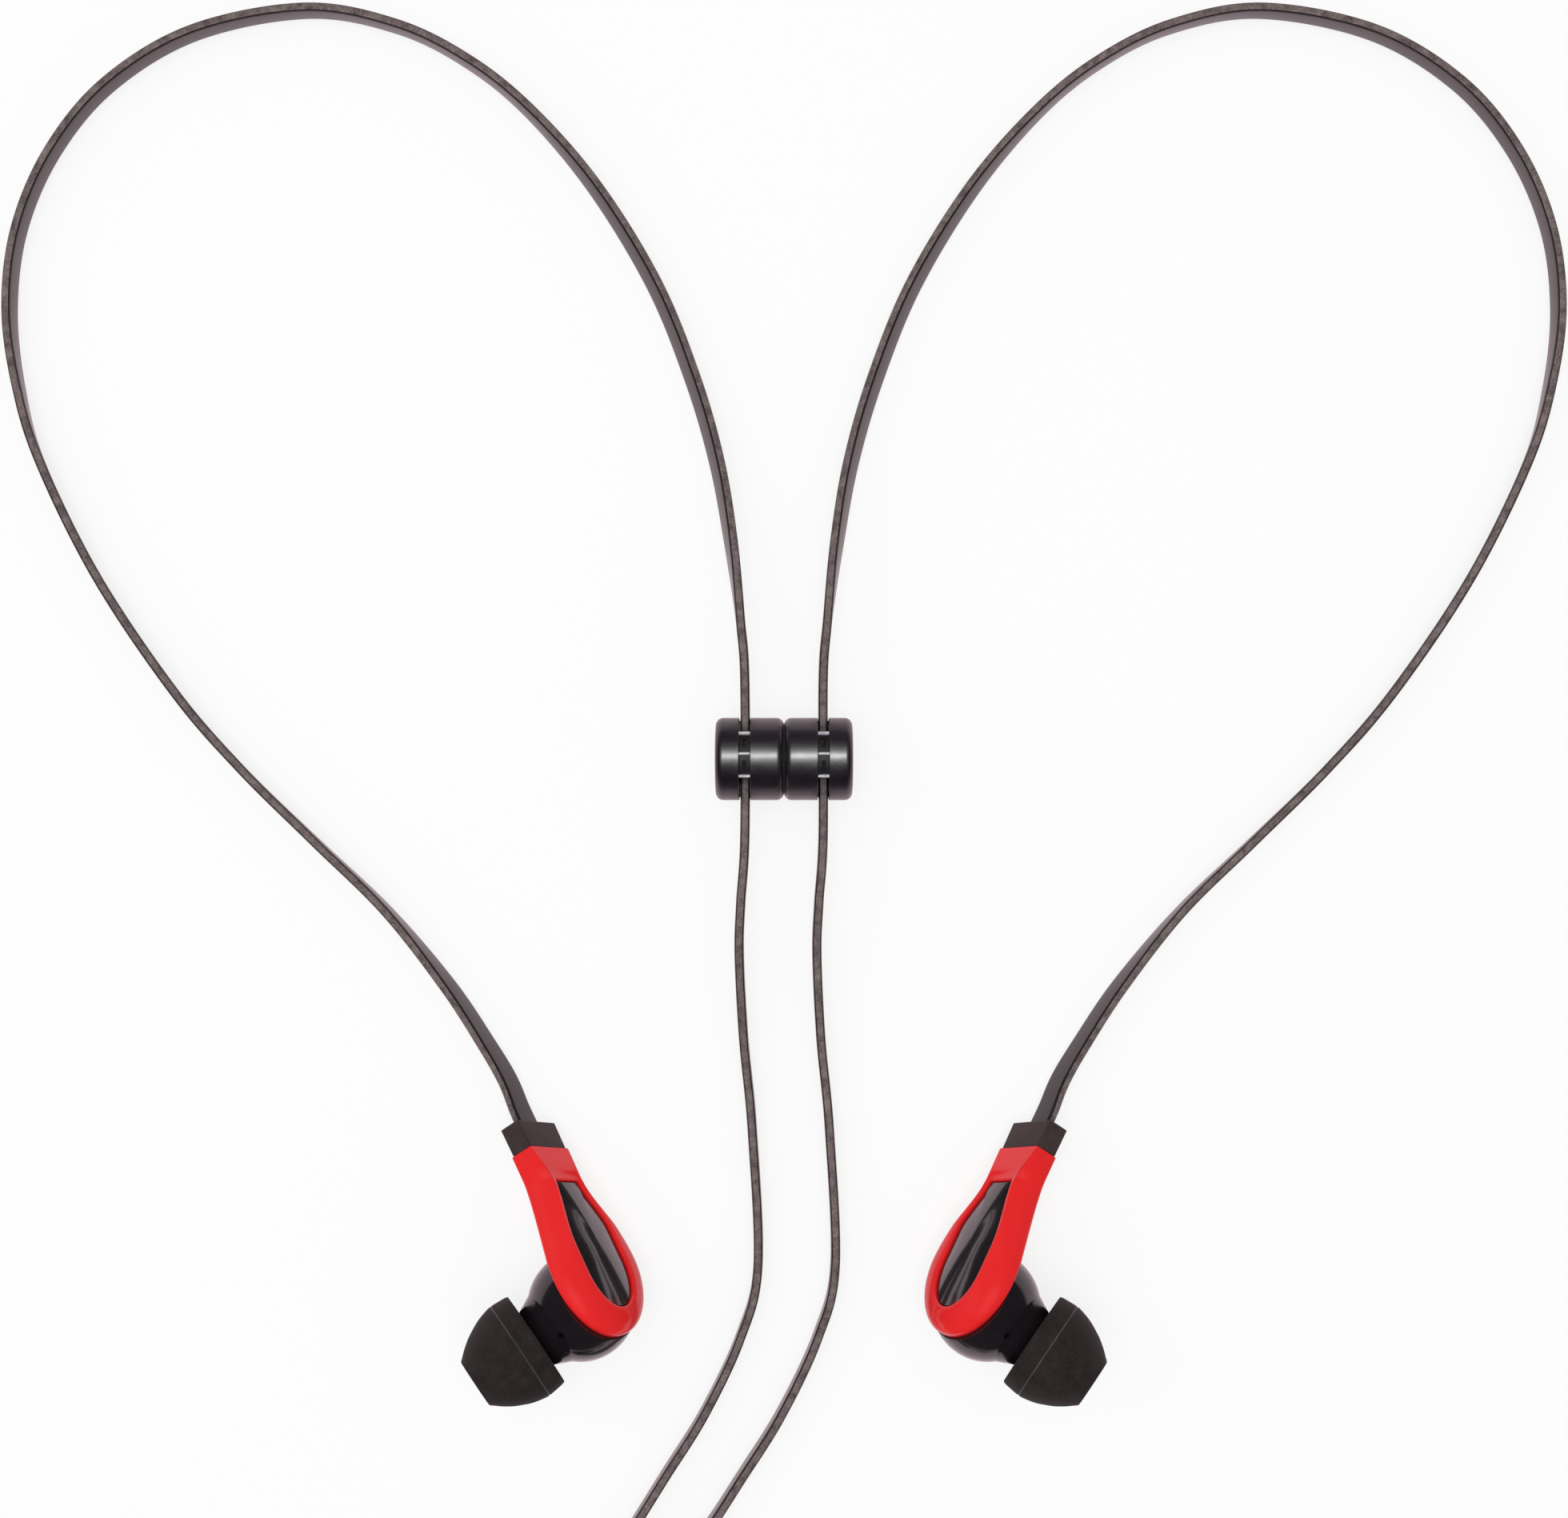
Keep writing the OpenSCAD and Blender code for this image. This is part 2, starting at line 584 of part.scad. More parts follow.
module tie_band() {
    gap = 0.35;
    low = coil_r0 - coil_pitch * 3.75 - cord_t / 2 - gap;
    high = coil_r0 - coil_pitch * 0.25 + cord_t / 2 + gap;
    bottom = coil_low_z - cord_h / 2 - 0.1 - tie_t;
    top = coil_low_z + coil_rise + cord_h / 2 + 0.1 + tie_t;
    translate([coil_at[0], coil_at[1], bottom]) rotate([0, 0, tie_angle]) difference() {
        translate([low - tie_t, -tie_w / 2, 0]) cube([high - low + 2 * tie_t, tie_w, top - bottom]);
        translate([low, -tie_w, tie_t]) cube([high - low, 2 * tie_w, top - bottom - 2 * tie_t]);
    }
}

// --- the plug, along +X -----------------------------------------------------------------------
module on_plug(along) {
    translate(plug_at + [along, 0, 0]) rotate([0, 90, 0]) children();
}

core_r = 0.5;
core_sheath_r = 0.85;
grip_start = boot_l;
pin_start = boot_l + grip_l;
sleeve_l = 7.4;
insulator_l = 0.6;
ring_l = 2.2;
head_l = pin_l - sleeve_l - 2 * insulator_l - ring_l;
tail_in = 4;        // length of the contacts inside the grip
shank_r = pin_r - 0.3;      // radius of the sleeve inside the grip

module plug_boot() {
    color("#3a3537") on_plug(0) rotate_extrude() polygon([
        [0, 0], [1.9, 0], [2.1, 0.4], [2.6, boot_l], [0, boot_l]]);
}

module plug_grip() {
    e = 0.5;
    color("#1a1619") on_plug(grip_start) difference() {
        rotate_extrude() polygon([
            [0, 0], [grip_r - e, 0], [grip_r, e], [grip_r, grip_l - e], [grip_r - e, grip_l], [0, grip_l]]);
        translate([0, 0, grip_l - tail_in]) cylinder(r = shank_r, h = tail_in + 1);
    }
}

module plug_sleeve() {
    color("#d8b35a") on_plug(pin_start - tail_in) difference() {
        union() {
            cylinder(r = shank_r, h = tail_in + 1);
            translate([0, 0, tail_in]) cylinder(r = pin_r, h = sleeve_l);
        }
        translate([0, 0, -1]) cylinder(r = core_sheath_r, h = tail_in + sleeve_l + 2);
    }
}

module plug_ring() {
    color("#d8b35a") on_plug(pin_start + sleeve_l + insulator_l) difference() {
        cylinder(r = pin_r, h = ring_l);
        translate([0, 0, -1]) cylinder(r = core_sheath_r, h = ring_l + 2);
    }
}

module plug_tip() {
    color("#d8b35a") on_plug(pin_start - tail_in) rotate_extrude() {
        z = tail_in + pin_l - head_l;
        polygon([
            [0, 0], [core_r, 0], [core_r, z], [pin_r - 0.1, z], [pin_r - 0.6, z + 0.8], [pin_r, z + 1.5],
            [pin_r - 0.2, z + 1.9], [0.5, z + head_l], [0, z + head_l]]);
    }
}

module plug_insulators() {
    color("#101012") on_plug(pin_start - tail_in) difference() {
        union() {
            cylinder(r = core_sheath_r, h = tail_in + pin_l - head_l);
            for (z = [0, insulator_l + ring_l])
                translate([0, 0, tail_in + sleeve_l + z]) cylinder(r = pin_r, h = insulator_l);
        }
        translate([0, 0, -1]) cylinder(r = core_r, h = tail_in + pin_l);
    }
}

// --- named sub-parts -----------------------------------------------------------------------------
red = "#e8282a";
gloss_black = "#141014";
soft_black = "#2a2626";
cord_grey = "#5a5250";

module left_shell() { color(red) in_bud(-1) shell_side(); }
module right_shell() { color(red) in_bud(1) shell_side(); }
module left_inlay() { color(gloss_black) in_bud(-1) inlay_side_piece(); }
module right_inlay() { color(gloss_black) in_bud(1) inlay_side_piece(); }
module left_body() { color(gloss_black) in_bud(-1) body_side(); }
module right_body() { color(gloss_black) in_bud(1) body_side(); }
module left_nozzle_mesh() { color("silver") in_bud(-1) mesh_side(); }
module right_nozzle_mesh() { color("silver") in_bud(1) mesh_side(); }
module left_driver_frame() { color("gray") in_bud(-1) frame_side(); }
module right_driver_frame() { color("gray") in_bud(1) frame_side(); }
module left_driver_magnet() { color("silver") in_bud(-1) magnet_side(); }
module right_driver_magnet() { color("silver") in_bud(1) magnet_side(); }
module left_diaphragm() { color("wheat") in_bud(-1) diaphragm_side(); }
module right_diaphragm() { color("wheat") in_bud(1) diaphragm_side(); }
module left_voice_coil() { color("peru") in_bud(-1) voice_coil_side(); }
module right_voice_coil() { color("peru") in_bud(1) voice_coil_side(); }
module left_terminal_board() { color("green") in_bud(-1) board_side(); }
module right_terminal_board() { color("green") in_bud(1) board_side(); }
module left_strain_relief() { color(soft_black) in_bud(-1) relief_side(); }
module right_strain_relief() { color(soft_black) in_bud(1) relief_side(); }
module left_ear_tip() { color(soft_black) in_bud(-1) tip_side(); }
module right_ear_tip() { color(soft_black) in_bud(1) tip_side(); }
module left_bead_shell() { color(gloss_black) in_bead(-1) bead_shell_side(); }
module right_bead_shell() { color(gloss_black) in_bead(1) bead_shell_side(); }
module left_bead_clip() { color(soft_black) in_bead(-1) bead_clip_side(); }
module right_bead_clip() { color(soft_black) in_bead(1) bead_clip_side(); }
module left_bead_magnet() { color("silver") in_bead(-1) bead_magnet_side(); }
module right_bead_magnet() { color("silver") in_bead(1) bead_magnet_side(); }
module left_bead_cap() { color(gloss_black) in_bead(-1) bead_cap_side(); }
module right_bead_cap() { color(gloss_black) in_bead(1) bead_cap_side(); }
module left_cord() { color(cord_grey) sweep(left_route, cord_section); }
module right_cord() { color(cord_grey) sweep(right_route, cord_section); }
module splitter_bottom() { color(soft_black) in_splitter() splitter_base(); }
module splitter_top() { color(soft_black) in_splitter() splitter_cover(); }
module splitter_board() { color("green") in_splitter() splitter_joint(); }
module main_lead() { color(cord_grey) sweep(lead_route, cord_section); }
module lead_coil() { color(cord_grey) sweep(coil_route, coil_section); }
module lead_tail() { color(cord_grey) sweep(tail_route, cord_section); }
module coil_tie() { color(gloss_black) tie_band(); }

left_shell();
right_shell();
left_inlay();
right_inlay();
left_body();
right_body();
left_nozzle_mesh();
right_nozzle_mesh();
left_driver_frame();
right_driver_frame();
left_driver_magnet();
right_driver_magnet();
left_diaphragm();
right_diaphragm();
left_voice_coil();
right_voice_coil();
left_terminal_board();
right_terminal_board();
left_strain_relief();
right_strain_relief();
left_ear_tip();
right_ear_tip();
left_bead_shell();
right_bead_shell();
left_bead_clip();
right_bead_clip();
left_bead_magnet();
right_bead_magnet();
left_bead_cap();
right_bead_cap();
left_cord();
right_cord();
splitter_bottom();
splitter_top();
splitter_board();
main_lead();
lead_coil();
lead_tail();
coil_tie();
plug_boot();
plug_grip();
plug_sleeve();
plug_ring();
plug_tip();
plug_insulators();
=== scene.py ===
# %% [markdown]
# # Wired earphones with a magnetic clasp
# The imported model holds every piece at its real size: shells, drivers, clasp, splitter and
# plug. This script dresses it. It lays the flat cords along their routes, rebuilds the curved
# pieces that show with finer surfaces, and gives every piece a finish made of nodes.

# %% Load the frame
import json
import math

import bpy
import bmesh
from mathutils import Matrix, Vector

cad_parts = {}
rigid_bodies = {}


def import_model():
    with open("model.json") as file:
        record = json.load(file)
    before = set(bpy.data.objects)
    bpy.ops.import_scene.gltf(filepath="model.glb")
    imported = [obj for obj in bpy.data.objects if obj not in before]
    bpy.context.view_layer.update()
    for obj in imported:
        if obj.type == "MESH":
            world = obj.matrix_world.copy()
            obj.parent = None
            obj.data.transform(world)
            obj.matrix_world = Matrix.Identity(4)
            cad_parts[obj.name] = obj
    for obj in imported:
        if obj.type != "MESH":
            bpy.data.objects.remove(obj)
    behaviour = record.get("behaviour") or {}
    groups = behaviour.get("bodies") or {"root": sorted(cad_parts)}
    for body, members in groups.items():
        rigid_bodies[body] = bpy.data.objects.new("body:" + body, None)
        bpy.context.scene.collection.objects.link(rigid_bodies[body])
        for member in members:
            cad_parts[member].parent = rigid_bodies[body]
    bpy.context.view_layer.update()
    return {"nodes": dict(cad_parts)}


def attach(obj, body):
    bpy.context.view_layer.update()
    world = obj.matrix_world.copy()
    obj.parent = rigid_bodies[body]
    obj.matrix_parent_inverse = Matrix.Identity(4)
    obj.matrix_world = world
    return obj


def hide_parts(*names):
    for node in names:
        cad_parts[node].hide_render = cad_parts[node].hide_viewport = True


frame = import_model()
MM = 0.001
SIDES = {"left": 1, "right": -1}

# %% [markdown]
# ## Camera
# The earphones lie flat and are seen from straight above. The camera is only about 240
# millimetres up, so what lies near the picture's edges is seen a little from its side.
# A camera without rotation looks down -Z with +Y at the top, which is the view wanted.

# %% Camera
CLASP_Y = 0.0587
CAMERA_HEIGHT, LENS, SENSOR_WIDTH = 0.243, 46.42, 36
camera_data = bpy.data.cameras.new("camera")
camera_data.sensor_fit = "HORIZONTAL"
camera_data.sensor_width = SENSOR_WIDTH
camera_data.lens = LENS
camera_data.clip_start = 0.01
camera = bpy.data.objects.new("camera", camera_data)
camera.location = (0, CLASP_Y, CAMERA_HEIGHT)
bpy.context.scene.collection.objects.link(camera)
bpy.context.scene.camera = camera

# %% [markdown]
# ## Helpers for meshes
# The rebuilt pieces are skins: rings of points, one after the other, joined by quads. Most
# are closed at both ends. A cord is a skin whose rings stand square to its path, and a lathe
# is one whose last ring joins its first, so one function makes the quads for all of them.

# %% Mesh helpers
def new_piece(name, points, faces, sharp_degrees=32):
    """A mesh object from points in metres, smooth except where its faces meet sharply."""
    mesh = bpy.data.meshes.new(name)
    mesh.from_pydata([tuple(p) for p in points], [], faces)
    work = bmesh.new()
    work.from_mesh(mesh)
    bmesh.ops.recalc_face_normals(work, faces=work.faces)
    work.to_mesh(mesh)
    work.free()
    mesh.polygons.foreach_set("use_smooth", [True] * len(mesh.polygons))
    mesh.set_sharp_from_angle(angle=math.radians(sharp_degrees))
    mesh.update()
    piece = bpy.data.objects.new(name, mesh)
    bpy.context.scene.collection.objects.link(piece)
    return piece


def skin_faces(ring_count, ring_size, first=0):
    """Quads between rings that lie one after the other."""
    faces = []
    for k in range(ring_count - 1):
        for i in range(ring_size):
            a = first + k * ring_size + i
            b = first + k * ring_size + (i + 1) % ring_size
            faces.append((a, b, b + ring_size, a + ring_size))
    return faces


def ladder_cap(ring_size, first):
    """A cap for a ring that is the same on its left and right: rungs from side to side."""
    last = ring_size - 1
    faces = []
    for i in range((ring_size - 1) // 2):
        rung = [first + i, first + i + 1, first + last - i - 1, first + last - i]
        faces.append(tuple(dict.fromkeys(rung)))
    return [f for f in faces if len(f) > 2]


def skin(name, rings, sharp_degrees=32, round_caps=False):
    """A closed piece over rings of equal size."""
    size = len(rings[0])
    points = [p for ring in rings for p in ring]
    faces = skin_faces(len(rings), size)
    for first in (0, (len(rings) - 1) * size):
        if round_caps:
            faces.append(tuple(range(first, first + size)))
        else:
            faces += ladder_cap(size, first)
    return new_piece(name, points, faces, sharp_degrees)


def mix(a, b, t):
    """From a at t = 0 to b at t = 1."""
    return a + (b - a) * t


def ease(t):
    """0 to 1, with a soft start and a soft stop."""
    t = max(0.0, min(1.0, t))
    return t * t * (3 - 2 * t)


def spline(points, step):
    """Points about a step apart on a smooth curve through the given ones (Catmull-Rom)."""
    ends = [[2 * a - b for a, b in zip(points[0], points[1])],
            [2 * a - b for a, b in zip(points[-1], points[-2])]]
    padded = [ends[0]] + [list(p) for p in points] + [ends[1]]
    out = []
    for i in range(1, len(padded) - 2):
        p0, p1, p2, p3 = padded[i - 1:i + 3]
        reach = math.dist(p1[:3], p2[:3])
        count = max(2, round(reach / step))
        for k in range(count):
            t = k / count
            out.append([0.5 * (2 * b + (c - a) * t + (2 * a - 5 * b + 4 * c - d) * t * t
                               + (3 * b - a - 3 * c + d) * t ** 3)
                        for a, b, c, d in zip(p0, p1, p2, p3)])
    out.append(list(points[-1]))
    return out

# %% [markdown]
# ## Where an earbud lies
# An earbud rests on its round body and on a corner of its stem. Its own frame has Y along
# the stem towards the cord and Z out of the red face. Three turns and a shift put it on the
# table, and the right earbud is the mirror image of the left.

# %% Earbud frame
BUD_AT = Vector((-19.9, -1.8, 9.05))
BUD_TURN, BUD_DIP, BUD_ROLL = 27.7, -14.5, 60
STEM_TOP, RELIEF_L = 17.2, 3.5
SHELL_T, SHELL_TOE_T = 3.4, 2.3
BODY_AT = Vector((0, -0.6, -5.6))
NOZZLE_TILT, NOZZLE_HEADING = 135.4, -166.3


def turn(axis, degrees):
    return Matrix.Rotation(math.radians(degrees), 4, axis)


bud_matrix = Matrix.Translation(BUD_AT) @ turn("Z", BUD_TURN) @ turn("X", BUD_DIP) @ turn("Y", BUD_ROLL)
nozzle_matrix = (bud_matrix @ Matrix.Translation(BODY_AT)
                 @ turn("Z", NOZZLE_HEADING) @ turn("Y", NOZZLE_TILT))


def in_bud(point, side, matrix=bud_matrix):
    """A point of the earbud's own frame, in millimetres, as a place on the table in metres."""
    p = (matrix @ Vector(point)) * MM
    return (p.x * SIDES[side], p.y, p.z)


# %% [markdown]
# ## The cords
# The cord is flat, three millimetres high and just over one thick, and it lies on its edge.
# Each branch leaves the strain relief, swings round in a wide loop, drops through its half
# of the clasp and runs to the splitter. The points are the route's own. Their fourth number
# is the twist in degrees that leans the cord over: near the earbud, along the outside of the
# loop, and on the way down to the clasp.

# %% Cord routes
LOOP_ROUTE = [
    (-0.0329, 0.0204, 0.0021, 26), (-0.0353, 0.0244, 0.0018, 20), (-0.0401, 0.0316, 0.0016, 14),
    (-0.0474, 0.0405, 0.00154, -1), (-0.056, 0.0488, 0.00154, -7), (-0.0648, 0.0574, 0.00154, -11),
    (-0.0727, 0.0665, 0.00154, -13), (-0.0819, 0.0801, 0.00154, -14), (-0.0887, 0.0938, 0.00154, -15),
    (-0.0914, 0.1031, 0.00153, -7), (-0.0925, 0.1126, 0.0015, 0), (-0.0913, 0.1222, 0.0015, 0),
    (-0.0873, 0.1314, 0.0015, 0), (-0.0806, 0.1394, 0.0015, 0), (-0.0704, 0.1455, 0.0015, 0),
    (-0.057, 0.1481, 0.0015, 0), (-0.0462, 0.1462, 0.0015, 0), (-0.0377, 0.142, 0.00151, 3),
    (-0.0304, 0.1361, 0.00153, 8), (-0.0226, 0.127, 0.00154, 18), (-0.0155, 0.1154, 0.00156, 23),
    (-0.0109, 0.1041, 0.0016, 24), (-0.008, 0.0941, 0.0022, 22), (-0.0063, 0.0845, 0.0034, 16),
    (-0.0051, 0.0747, 0.0046, 1),
]
CLASP_ROUTE = [(-0.0046, 0.0677, 0.00485, 0), (-0.0046, 0.0497, 0.00485, 0)]
LOWER_ROUTE = [
    (-0.0051, 0.0417, 0.0042, 0), (-0.0053, 0.0355, 0.0031, 0), (-0.0048, 0.0253, 0.0017, 0),
    (-0.0038, 0.0147, 0.0015, 0), (-0.0031, -0.0017, 0.0015, 0), (-0.0052, -0.0103, 0.0015, 0),
    (-0.0095, -0.0194, 0.0015, 0), (-0.0142, -0.0269, 0.0015, 0),
]
LEFT_END_ROUTE = [(-0.0186, -0.034, 0.0016, 0), (-0.0223, -0.0402, 0.002, 0)]
RIGHT_END_ROUTE = [
    (-0.0096, -0.0338, 0.0016, 0), (-0.015, -0.0399, 0.0019, 0), (-0.0199, -0.0438, 0.0022, 0),
]
RIGHT_SHIFT = 0.0092        # from the left cord to the right one, below the clasp
RELIEF_RUN, RELIEF_TWIST = 2.4, 30

SPLITTER_AT = (-0.025, -0.0467, 0.0023)
SPLITTER_L = 0.014
SPLITTER_TURN = math.radians(-30)
SPLITTER_ENTRY = 0.0009     # how far a branch runs straight before the splitter, and off its middle
splitter_way = (math.sin(SPLITTER_TURN), -math.cos(SPLITTER_TURN))
splitter_side = (math.cos(SPLITTER_TURN), math.sin(SPLITTER_TURN))


def by_splitter(along, across):
    """A point of a route, from how far it is along and across the splitter's middle line."""
    return tuple(SPLITTER_AT[k] + splitter_way[k] * along + splitter_side[k] * across
                 for k in (0, 1)) + (SPLITTER_AT[2], 0)


def start_route(side):
    """The first two points of a branch, straight out of the strain relief."""
    return [in_bud((0, STEM_TOP + RELIEF_L + out, -SHELL_T / 2), side)
            + (RELIEF_TWIST * SIDES[side],) for out in (0, RELIEF_RUN)]


def flipped(route):
    return [(-x, y, z, -twist) for x, y, z, twist in route]


def into_splitter(across):
    return [by_splitter(-SPLITTER_ENTRY, across), by_splitter(0, across)]


shifted_lower = [(x + RIGHT_SHIFT, y, z, twist) for x, y, z, twist in LOWER_ROUTE]
left_route = (start_route("left") + LOOP_ROUTE + CLASP_ROUTE + LOWER_ROUTE + LEFT_END_ROUTE
              + into_splitter(-SPLITTER_ENTRY))
right_route = (start_route("right") + flipped(LOOP_ROUTE + CLASP_ROUTE) + shifted_lower
               + RIGHT_END_ROUTE + into_splitter(SPLITTER_ENTRY))

# %% [markdown]
# ### The lead and its coil
# Below the splitter the lead is wound into a neat coil: inwards on the table, a dip inside
# while it climbs, and outwards on top. `wound` holds that rule, counted in turns, and a short
# tail goes down to the plug that lies beside the coil.

# %% Lead route
LEAD_RUN, LEAD_EXIT = 0.014, 0.004
CORD_H, CORD_T = 0.003, 0.0011
COIL_R, COIL_PITCH = 0.0186, 0.00162
COIL_LOW, COIL_RISE = 0.0023, 0.00346
COIL_TURNS, RINGS_A_TURN = 22 / 3, 24
TURNS_IN, TURNS_BACK, DIP, QUARTER = 3.25, 8, 4.45, 0.25
CLIMB_FROM, CLIMB_TO = 3.5, 4
GRIP_R = 0.0032
coil_start = by_splitter(SPLITTER_L + LEAD_RUN, 0)
coil_at = [coil_start[k] + COIL_R * splitter_side[k] for k in (0, 1)]


def wound(u):
    """Turns wound inwards after u turns along the lead."""
    top_from = CLIMB_TO + QUARTER
    if u < TURNS_IN:
        return u
    if u < CLIMB_FROM:
        return mix(TURNS_IN, DIP, ease((u - TURNS_IN) / QUARTER))
    if u < CLIMB_TO:
        return DIP
    if u < top_from:
        return mix(DIP, TURNS_BACK - top_from, ease((u - CLIMB_TO) / QUARTER))
    return TURNS_BACK - u


def coil_point(u):
    r = COIL_R - COIL_PITCH * wound(u)
    a = SPLITTER_TURN + math.pi + 2 * math.pi * u
    return (coil_at[0] + r * math.cos(a), coil_at[1] + r * math.sin(a),
            COIL_LOW + COIL_RISE * ease((u - CLIMB_FROM) / (CLIMB_TO - CLIMB_FROM)), 0)


coil_points = [coil_point(i / RINGS_A_TURN) for i in range(round(COIL_TURNS * RINGS_A_TURN) + 1)]
end_x, end_y, end_z, _ = coil_points[-1]
PLUG_Z = GRIP_R + 0.0001
TAIL = [(end_x + CORD_H, end_z), (-0.013, 0.0052), (-0.006, 0.0041), (0.001, PLUG_Z), (0.006, PLUG_Z)]
lead_route = [by_splitter(SPLITTER_L + out, 0) for out in (0, LEAD_EXIT, LEAD_RUN - CORD_H)]
lead_route += coil_points + [(x, end_y, z, 0) for x, z in TAIL]

# %% [markdown]
# ### A flat cord as a swept skin
# A curve with a bevel can't lean a flat section at will, so the cord is a mesh: a flat section
# with rounded edges, set square to the path at every step. Its faces remember which of them
# are the smooth sides and which are the rounded edges, because the edges are painted lighter: a painted
# highlight along the lit edge.

# %% Sweep the cords
CORNER_N, CORD_CORNER = 6, 0.00038
CORD_STEP, LEAD_STEP = 0.0009, 0.0012


def cord_section():
    """The flat cord's outline, centred, as (across, up) in metres."""
    right = []
    for i in range(CORNER_N + 1):
        a = math.pi / 2 * (1 - i / CORNER_N)
        right.append((CORD_T / 2 - CORD_CORNER + CORD_CORNER * math.cos(a),
                      CORD_H / 2 - CORD_CORNER + CORD_CORNER * math.sin(a)))
    right += [(x, -y) for x, y in right[::-1]]
    return right + [(-x, -y) for x, y in right]


SECTION_N = len(cord_section())
FLAT_SIDE = range(2, 2 * CORNER_N - 1)      # the flat side's faces, between the two rounded edges that are painted lighter as a highlight


def sweep(name, route, step):
    """A cord along a route, with the line it follows and its length."""
    path = spline(route, step)
    section = cord_section()
    rings = []
    for i, point in enumerate(path):
        ahead = Vector(path[min(i + 1, len(path) - 1)][:3]) - Vector(path[max(i - 1, 0)][:3])
        ahead.normalize()
        across = ahead.cross(Vector((0, 0, 1))).normalized()
        up = across.cross(ahead)
        twist = math.radians(point[3])
        c, s = math.cos(twist), math.sin(twist)
        rings.append([Vector(point[:3]) + across * (x * c - y * s) + up * (x * s + y * c)
                      for x, y in section])
    piece = skin(name, rings, sharp_degrees=40, round_caps=True)
    line = [tuple(p[:3]) for p in path]
    length = sum(math.dist(a, b) for a, b in zip(line, line[1:]))
    print(name, "length", round(length, 4), "rings", len(rings))
    return piece, line, length


left_cord, left_line, left_length = sweep("left_cord_flat", left_route, CORD_STEP)
right_cord, right_line, right_length = sweep("right_cord_flat", right_route, CORD_STEP)
lead, lead_line, lead_length = sweep("lead_flat", lead_route, LEAD_STEP)

# %% Attach the cords and hide the imported ones
SPLITTER_NODES = ["splitter_bottom", "splitter_top", "splitter_board"]
BEAD_PARTS = ("shell", "clip", "magnet", "cap")
for piece, line, length, side in ((left_cord, left_line, left_length, "left"),
                                  (right_cord, right_line, right_length, "right")):
    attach(piece, "earphones")
    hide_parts(side + "_cord")
    on_cord = [frame["nodes"][f"{side}_bead_{part}"] for part in BEAD_PARTS]
    on_cord += [frame["nodes"][n] for n in SPLITTER_NODES]
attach(lead, "earphones")
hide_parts("main_lead", "lead_coil", "lead_tail")

# %% [markdown]
# ## Helpers for finishes
# Every finish is a Principled shader with small maps made from noise. What several finishes
# share is a node group: `fine_grain` gives a soft speckle, and `rubbed` gives the small lighter
# marks that handling leaves. A number that is the same all over a surface is set on the
# shader's own socket.

# %% Node helpers
COARSE_SHARE = 0.22                 # the coarse noise's scale against the fine one's
MARK_START, MARK_STEEP = 0.85, 6.0  # where the noise begins to show as a mark, and how sharply
BUMP_DEPTH = 0.00008


def add_node(tree, kind, x=0, y=0, **settings):
    node = tree.nodes.new(kind)
    node.location = (x, y)
    for key, value in settings.items():
        setattr(node, key, value)
    return node


def number_sockets(tree, inputs, outputs):
    for name, value in inputs.items():
        socket = tree.interface.new_socket(name, in_out="INPUT", socket_type="NodeSocketFloat")
        socket.default_value = value
    for name in outputs:
        tree.interface.new_socket(name, in_out="OUTPUT", socket_type="NodeSocketFloat")


def fine_grain_group():
    """Speckle from two sizes of noise: a mask for colour and a height for bump."""
    tree = bpy.data.node_groups.new("fine_grain", "ShaderNodeTree")
    number_sockets(tree, {"Scale": 2500.0, "Contrast": 1.0}, ("Mask", "Height"))
    given = add_node(tree, "NodeGroupInput", -800)
    place = add_node(tree, "ShaderNodeTexCoord", -800, -200)
    small = add_node(tree, "ShaderNodeTexNoise", -500, 100)
    small.inputs["Detail"].default_value = 3.0
    coarse_scale = add_node(tree, "ShaderNodeMath", -650, -300, operation="MULTIPLY")
    coarse_scale.inputs[1].default_value = COARSE_SHARE
    coarse = add_node(tree, "ShaderNodeTexNoise", -500, -200)
    coarse.inputs["Detail"].default_value = 2.0
    both = add_node(tree, "ShaderNodeMath", -300, 0, operation="ADD")
    centred = add_node(tree, "ShaderNodeMath", -150, 0, operation="SUBTRACT")
    centred.inputs[1].default_value = 1.0
    spread = add_node(tree, "ShaderNodeMath", 0, 0, operation="MULTIPLY")
    lifted = add_node(tree, "ShaderNodeMath", 150, 0, operation="ADD", use_clamp=True)
    lifted.inputs[1].default_value = 0.5
    out = add_node(tree, "NodeGroupOutput", 350)
    link = tree.links.new
    link(given.outputs["Scale"], small.inputs["Scale"])
    link(given.outputs["Scale"], coarse_scale.inputs[0])
    link(coarse_scale.outputs[0], coarse.inputs["Scale"])
    link(place.outputs["Object"], small.inputs["Vector"])
    link(place.outputs["Object"], coarse.inputs["Vector"])
    link(small.outputs["Fac"], both.inputs[0])
    link(coarse.outputs["Fac"], both.inputs[1])
    link(both.outputs[0], centred.inputs[0])
    link(centred.outputs[0], spread.inputs[0])
    link(given.outputs["Contrast"], spread.inputs[1])
    link(spread.outputs[0], lifted.inputs[0])
    link(lifted.outputs[0], out.inputs["Mask"])
    link(small.outputs["Fac"], out.inputs["Height"])
    return tree


